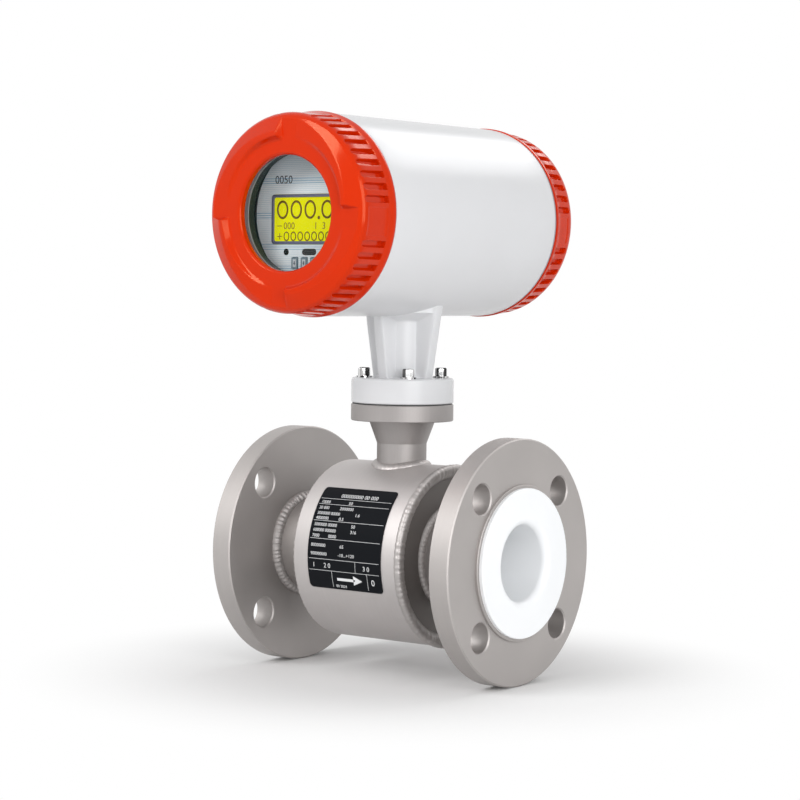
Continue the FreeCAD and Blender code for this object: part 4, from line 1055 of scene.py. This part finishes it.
def screw_section(angle):
    """Head with flutes, then the shank; the socket is part of the same line."""
    flute = FLUTE_DEPTH * math.cos(math.radians(angle * FLUTES))
    socket = SOCKET_HALF / math.cos(math.radians((angle + 30) % 60 - 30))
    seat = BASE_TOP + WASHER_TALL
    top = seat + HEAD_TALL
    keys = [(0, top - SOCKET_DEPTH, 0, 0), (socket, top - SOCKET_DEPTH, 0, 0),
            (socket, top - 0.1 * MM, 0, 0),
            (2.75 * MM, top, 0.2 * MM, 2), (3.25 * MM, top, 0.35 * MM, 3),
            (HEAD_R - 0.02 * MM + flute * 0.6, top - 0.65 * MM, 0, 0),
            (HEAD_R + flute, top - 1.1 * MM, 0, 0), (HEAD_R + flute, seat + 0.5 * MM, 0, 0),
            (3.55 * MM, seat, 0, 0), (SHANK_R, seat, 0, 0), (SHANK_R, SHANK_END, 0, 0),
            (0, SHANK_END, 0, 0)]
    return soft_section(keys)


screws = []
for corner in (45, 135, 225, 315):
    screw = sheet("screw", screw_section, [2.5 * i for i in range(144)], upright)
    turn = math.radians(corner)
    screw.location = (SCREW_CIRCLE_R * math.cos(turn), SCREW_CIRCLE_R * math.sin(turn), 0)
    screws.append(apply_place(screw))
cap_screws = join(screws, "cap_screws")
smooth(cap_screws, 35)
dress(cap_screws, screw_steel, "meter", ["neck_screws"])
print("cap screws have", len(cap_screws.data.polygons), "faces")

# %% [markdown]
# ## Printing
# Text is drawn with a text object, turned into a mesh and laid on its surface. Only plain
# numbers are printed. The print on the nameplate follows the curve of the drum: the flat
# height of every vertex becomes an angle round the pipe axis.

# %% Text and bars
def number(text, size, x, z, stretch=1.0):
    """Flat printed number in the plane of X and Z, its base line at z."""
    deselect()
    bpy.ops.object.text_add(location=(0, 0, 0))
    label = bpy.context.active_object
    label.data.body = text
    label.data.size = size
    label.data.resolution_u = 4
    only(label)
    bpy.ops.object.convert(target="MESH")
    label = bpy.context.active_object
    for vertex in label.data.vertices:
        px, py, pz = vertex.co
        vertex.co = (x + px * stretch, 0, z + py)
    return label


def bar(x0, x1, z0, z1, cuts=1):
    """Flat printed bar in the plane of X and Z, cut into cells so that it can bend."""
    deselect()
    bpy.ops.mesh.primitive_grid_add(x_subdivisions=1, y_subdivisions=cuts, size=1.0, location=(0, 0, 0))
    piece = bpy.context.active_object
    for vertex in piece.data.vertices:
        px, py, pz = vertex.co
        vertex.co = (x0 + (px + 0.5) * (x1 - x0), 0, z0 + (py + 0.5) * (z1 - z0))
    return piece


def oval(x, z, half_x, half_z, stroke, steps=40):
    """Printed oval ring."""
    ring = turned("oval", [(0, 0.9), (0, 1.0)], axis="Z", steps=steps)
    for vertex in ring.data.vertices:
        px, py, pz = vertex.co
        r = math.hypot(px, py)
        inner = r < 0.95
        sx = half_x - (stroke if inner else 0)
        sz = half_z - (stroke if inner else 0)
        vertex.co = (x + px / r * sx, 0, z + py / r * sz)
    return ring


def triangle(corners):
    """Flat printed triangle through three corners (x, z)."""
    deselect()
    bpy.ops.mesh.primitive_circle_add(vertices=3, radius=1.0, fill_type="NGON", location=(0, 0, 0))
    piece = bpy.context.active_object
    for vertex, (x, z) in zip(piece.data.vertices, corners):
        vertex.co = (x, 0, z)
    return piece


def printed(parts, name, finish, body, place, thickness=0.00003):
    """Join flat print, lay each vertex on its surface and give it a hair of thickness."""
    piece = join(parts, name)
    only(piece)
    bpy.ops.object.mode_set(mode="EDIT")
    bpy.ops.mesh.select_all(action="SELECT")
    bpy.ops.mesh.remove_doubles(threshold=1e-6)
    bpy.ops.mesh.normals_make_consistent(inside=False)
    bpy.ops.object.mode_set(mode="OBJECT")
    for vertex in piece.data.vertices:
        vertex.co = place(vertex.co.x, vertex.co.z)
    modify(piece, "SOLIDIFY", thickness=thickness, offset=0)
    return dress(piece, finish, body)


# %% Nameplate print
def on_drum(x, arc):
    """Point on the nameplate: arc is the length round the drum from the level of the axis."""
    r = DRUM_R + 0.67 * MM
    turn = arc / r
    return (x, -r * math.cos(turn), r * math.sin(turn))


plate_ink = coated("pale plate print", (0.72, 0.73, 0.74), 0.4, 0.0)
rules = [bar(-28.8 * MM, 26.8 * MM, z * MM, (z + 0.22) * MM) for z in (38.6, 34.4, 23.0, 11.4, -1.4, -8.6)]
rules += [bar(x * MM, (x + 0.22) * MM, low * MM, high * MM, 8) for x, low, high in
          ((-11.0, -19.0, -8.6), (17.0, -19.0, -8.6), (8.0, -8.6, -1.4))]
ROWS = ((35.2, -5.6, "10000", "50"), (31.0, -11.0, "20 000", "2000000"),
        (27.2, 2.6, "3000000 00000", "1.6"), (23.9, -9.2, "4000000", "0.5"),
        (19.6, 2.0, "5000000 00000", "50"), (16.0, 2.2, "600000 000000", "316"),
        (12.4, -14.6, "7000", "0000"), (6.4, -4.6, "80000000", "65"),
        (1.0, -5.6, "900000000", "-10...+120"))
words = [number("000000000 00 000", 3.9 * MM, -14 * MM, 40.0 * MM)]
for z, x, left, right in ROWS:
    words.append(number(left, 2.9 * MM, -27.5 * MM, z * MM))
    words.append(number(right, 2.9 * MM, x * MM, z * MM, 1.1))
words += [number("1", 4.2 * MM, -26 * MM, -6.6 * MM), number("2 0", 4.2 * MM, -17 * MM, -6.6 * MM),
          number("3 0", 4.2 * MM, 14 * MM, -6.6 * MM), number("0", 5.6 * MM, 20.0 * MM, -15.6 * MM)]
arrow = [bar(-7 * MM, 6 * MM, -14.4 * MM, -12.6 * MM), number("00 2024", 2.6 * MM, -8.5 * MM, -18.9 * MM)]
tip = triangle([(x * MM, z * MM) for x, z in ((6, -16.6), (6, -10.4), (13, -13.5))])
printed(rules + words + arrow + [tip], "nameplate_print", plate_ink, "meter", on_drum)
print("the nameplate has", len(rules), "rules and", len(words), "numbers")

# %% [markdown]
# The display shows five large digits, a row of small ones and a line of numbers between them.
# The large and the small digits are zeros, so each is a plain oval ring.

# %% Display print
def on_glass(depth):
    """Point of a flat print that faces the window at a given depth."""
    return lambda x, z: (x, depth, z)


ink = coated("brown display ink", (0.22, 0.12, 0.002), 0.5, 0.0)
digits = [oval(x * MM, AXIS_Z + 2.9 * MM, 4.5 * MM, 5.7 * MM, 1.15 * MM)
          for x in (-21.6, -10.8, 0.2, 13.4, 24.2)]
digits.append(oval(7.0 * MM, AXIS_Z - 2.1 * MM, 1.0 * MM, 1.0 * MM, 0.93 * MM, 20))
digits += [oval((-18.4 + 5.45 * i) * MM, AXIS_Z - 13.4 * MM, 2.25 * MM, 2.9 * MM, 0.62 * MM, 28)
           for i in range(9)]
digits += [bar(-25.8 * MM, -21.8 * MM, AXIS_Z - 13.7 * MM, AXIS_Z - 13.2 * MM),
           bar(-24.05 * MM, -23.55 * MM, AXIS_Z - 15.4 * MM, AXIS_Z - 11.4 * MM),
           bar(-25.8 * MM, -22.2 * MM, AXIS_Z - 7.3 * MM, AXIS_Z - 6.8 * MM),
           number("000", 6.0 * MM, -20.8 * MM, AXIS_Z - 9.0 * MM),
           number("1", 6.0 * MM, 3.2 * MM, AXIS_Z - 9.0 * MM),
           number("3", 6.0 * MM, 9.5 * MM, AXIS_Z - 9.0 * MM)]
printed(digits, "display_digits", ink, "meter", on_glass(DISPLAY_Y - 0.05 * MM))
plate_number = number("0050", 7.0 * MM, bezel_low[0] + 2.6 * MM, bezel_high[2] + 6.6 * MM)
face_ink = coated("black face print", (0.02, 0.03, 0.05), 0.4, 0.0)
printed([plate_number], "faceplate_digits", face_ink, "meter", on_glass(FACEPLATE_Y - 0.04 * MM))
print("the display shows", len(digits), "marks")

# %% [markdown]
# The frame of the display is a sheet too: its rows step from the outer wall over the front to
# the inner wall, and its columns run round the rounded rectangle.

# %% Frame of the display
def soft_frame(name, low, high, depth, width, radius, thickness):
    """Rounded rectangular frame that faces the window."""
    half_x, half_z = (high[0] - low[0]) / 2, (high[2] - low[2]) / 2
    centre = ((high[0] + low[0]) / 2, (high[2] + low[2]) / 2)
    steps = 12

    def corner_loop(inset):
        points = []
        r = max(radius - inset * 0.5, 0.5 * MM)
        for quarter_turn, (sx, sz) in enumerate(((1, 1), (-1, 1), (-1, -1), (1, -1))):
            for i in range(steps):
                turn = math.radians(90 * quarter_turn + 90 * i / (steps - 1))
                points.append((centre[0] + sx * (half_x - inset - r) + r * math.cos(turn),
                               centre[1] + sz * (half_z - inset - r) + r * math.sin(turn)))
        return points

    insets = (0, 0, 0.2 * MM, width - 0.2 * MM, width, width)
    heights = (0, thickness - 0.2 * MM, thickness, thickness, thickness - 0.2 * MM, 0)
    loops = [corner_loop(inset) for inset in insets]
    band = turned(name, [(i * MM, 0.05) for i in range(len(insets))], axis="Y", steps=4 * steps)
    for vertex in band.data.vertices:
        px, py, pz = vertex.co
        row = round(py / MM)
        column = round((math.atan2(pz, px) % math.tau) / math.tau * 4 * steps) % (4 * steps)
        x, z = loops[row][column]
        vertex.co = (x, depth - heights[row], z)
    return tidy_mesh(band, 1e-7)


bezel = soft_frame("display_frame", bezel_low, bezel_high, bezel_high[1], 1.9 * MM, 2.4 * MM,
                   bezel_high[1] - bezel_low[1])
smooth(bezel, 40)
dress(bezel, slate, "meter", ["display_bezel"])
print("display frame has", len(bezel.data.polygons), "faces")

# %% [markdown]
# Each of the four keys carries a pale field with an arrow, and each arrow is turned by a
# quarter from the one before.

# %% Print on the keys
key_ink = coated("white key print", (0.70, 0.76, 0.80), 0.4, 0.0)
key_mark = coated("slate key mark", (0.10, 0.15, 0.20), 0.4, 0.0)
ARROW_HEAD = ((0, 0.95), (-0.85, -0.55), (0.85, -0.55))      # millimetres from the key's centre
for i in range(4):
    key_name = f"key_{i + 1}"
    low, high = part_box(key_name)
    x, z = (low[0] + high[0]) / 2, (low[2] + high[2]) / 2
    field = bar(x - 1.2 * MM, x + 1.2 * MM, z - 2.3 * MM, z + 2.3 * MM)
    printed([field], key_name + "_field", key_ink, key_name, on_glass(low[1] - 0.04 * MM))
    mark = bar(x - 0.3 * MM, x + 0.3 * MM, z - 1.3 * MM, z + 1.3 * MM)
    turn = math.radians(90 * i)
    head = triangle([(x + (px * math.cos(turn) - pz * math.sin(turn)) * MM,
                      z + (px * math.sin(turn) + pz * math.cos(turn)) * MM) for px, pz in ARROW_HEAD])
    printed([mark, head], key_name + "_mark", key_mark, key_name, on_glass(low[1] - 0.10 * MM))
print("four keys printed")

# %% [markdown]
# ## Floor, light and camera
# A pale floor carries the shadow and fades to white. Broad soft lamps stand high at the left
# and right front, and the sky lights what they leave dark.

# %% Floor
def floor_paint():
    """Pale paint that fades to white away from the meter, for every ray that sees it."""
    paint = Paint("pale studio floor", (0.82, 0.82, 0.82), 0.9)
    x, y, z = paint.axes()
    away = (x * x + y * y).maths("SQRT")
    light_path = paint.node("ShaderNodeLightPath", {}, {})
    seen = Amount(paint, light_path.outputs["Is Camera Ray"])
    seen = seen + Amount(paint, light_path.outputs["Is Glossy Ray"])
    seen = (seen + Amount(paint, light_path.outputs["Is Transmission Ray"])).maths("MINIMUM", 1)
    glow = paint.node("ShaderNodeEmission", {}, {"Color": (1, 1, 1), "Strength": 1.0})
    blend = paint.node("ShaderNodeMixShader", {}, {0: away.over(0.07, 0.26) * seen,
                                                   1: paint.shader.outputs[0], 2: glow.outputs[0]})
    output = paint.tree.nodes["Material Output"]
    paint.tree.links.new(blend.outputs[0], output.inputs["Surface"])
    return paint.material


deselect()
FLOOR_Z = cad_box[0][2] - 0.2 * MM
bpy.ops.mesh.primitive_circle_add(vertices=96, radius=3.0, fill_type="NGON", location=(0, 0, FLOOR_Z))
floor = apply_place(named(bpy.context.active_object, "studio_floor"))
floor.data.materials.append(floor_paint())
print("floor at", round(FLOOR_Z, 4), "m")

# %% World
def soft_sky(strength):
    """White world: full white where it is seen, dimmer where it only lights."""
    world = bpy.data.worlds.new("soft white studio")
    world.use_nodes = True
    tree = world.node_tree
    background = tree.nodes["Background"]
    background.inputs["Color"].default_value = (1, 1, 1, 1)
    path = tree.nodes.new("ShaderNodeLightPath")
    either = tree.nodes.new("ShaderNodeMath")
    either.operation = "MAXIMUM"
    tree.links.new(path.outputs["Is Camera Ray"], either.inputs[0])
    tree.links.new(path.outputs["Is Glossy Ray"], either.inputs[1])
    seen = tree.nodes.new("ShaderNodeMath")
    seen.operation = "MAXIMUM"
    tree.links.new(either.outputs[0], seen.inputs[0])
    tree.links.new(path.outputs["Is Transmission Ray"], seen.inputs[1])
    level = tree.nodes.new("ShaderNodeMapRange")
    level.inputs["To Min"].default_value = strength
    level.inputs["To Max"].default_value = 1.0
    tree.links.new(seen.outputs[0], level.inputs["Value"])
    tree.links.new(level.outputs["Result"], background.inputs["Strength"])
    bpy.context.scene.world = world


soft_sky(0.42)
print("world:", bpy.context.scene.world.name)

# %% Lamps
def soft_lamp(name, place, target, size, power):
    """Square lamp that faces its target; sizes in metres, power in watts."""
    deselect()
    bpy.ops.object.light_add(type="AREA", location=place)
    lamp = bpy.context.active_object
    lamp.name = name
    lamp.data.shape = "RECTANGLE"
    lamp.data.size, lamp.data.size_y = size
    lamp.data.energy = power
    lamp.rotation_euler = (Vector(target) - Vector(place)).to_track_quat("-Z", "Y").to_euler()
    return lamp


soft_lamp("key lamp", (-0.55, -1.6, 1.15), (0, 0, 0.15), (0.8, 0.8), 19)
soft_lamp("fill lamp", (1.6, -0.9, 0.55), (0, 0, 0.1), (1.1, 1.2), 21)
soft_lamp("back lamp", (0.1, 1.5, 1.35), (0, 0, 0.2), (1.2, 0.5), 7)
bpy.context.scene.view_settings.view_transform = "Standard"

# %% Camera
VIEW_AZIMUTH = math.radians(36.97)
VIEW_RISE = math.radians(2.77)
VIEW_ROLL = math.radians(0.71)
VIEW_DISTANCE = 1.5092
AIM_SIDE, AIM_RISE = -0.0015, 0.09785
LENS, SENSOR = 105.08, 36.0      # millimetres


def place_camera():
    """Camera on a circle round the meter, a little raised and rolled."""
    right = Vector((math.cos(VIEW_AZIMUTH), math.sin(VIEW_AZIMUTH), 0))
    forward = Vector((-math.sin(VIEW_AZIMUTH) * math.cos(VIEW_RISE),
                      math.cos(VIEW_AZIMUTH) * math.cos(VIEW_RISE), -math.sin(VIEW_RISE)))
    up = right.cross(forward)
    aim = right * AIM_SIDE + up * AIM_RISE
    turned_right = right * math.cos(VIEW_ROLL) + up * math.sin(VIEW_ROLL)
    turned_up = up * math.cos(VIEW_ROLL) - right * math.sin(VIEW_ROLL)
    data = bpy.data.cameras.new("studio camera")
    data.lens = LENS
    data.sensor_width = SENSOR
    camera = bpy.data.objects.new("studio camera", data)
    bpy.context.scene.collection.objects.link(camera)
    columns = Matrix((turned_right, turned_up, -forward)).transposed()
    camera.matrix_world = Matrix.Translation(aim - forward * VIEW_DISTANCE) @ columns.to_4x4()
    bpy.context.scene.camera = camera
    print("camera at", [round(v, 3) for v in camera.location])


place_camera()
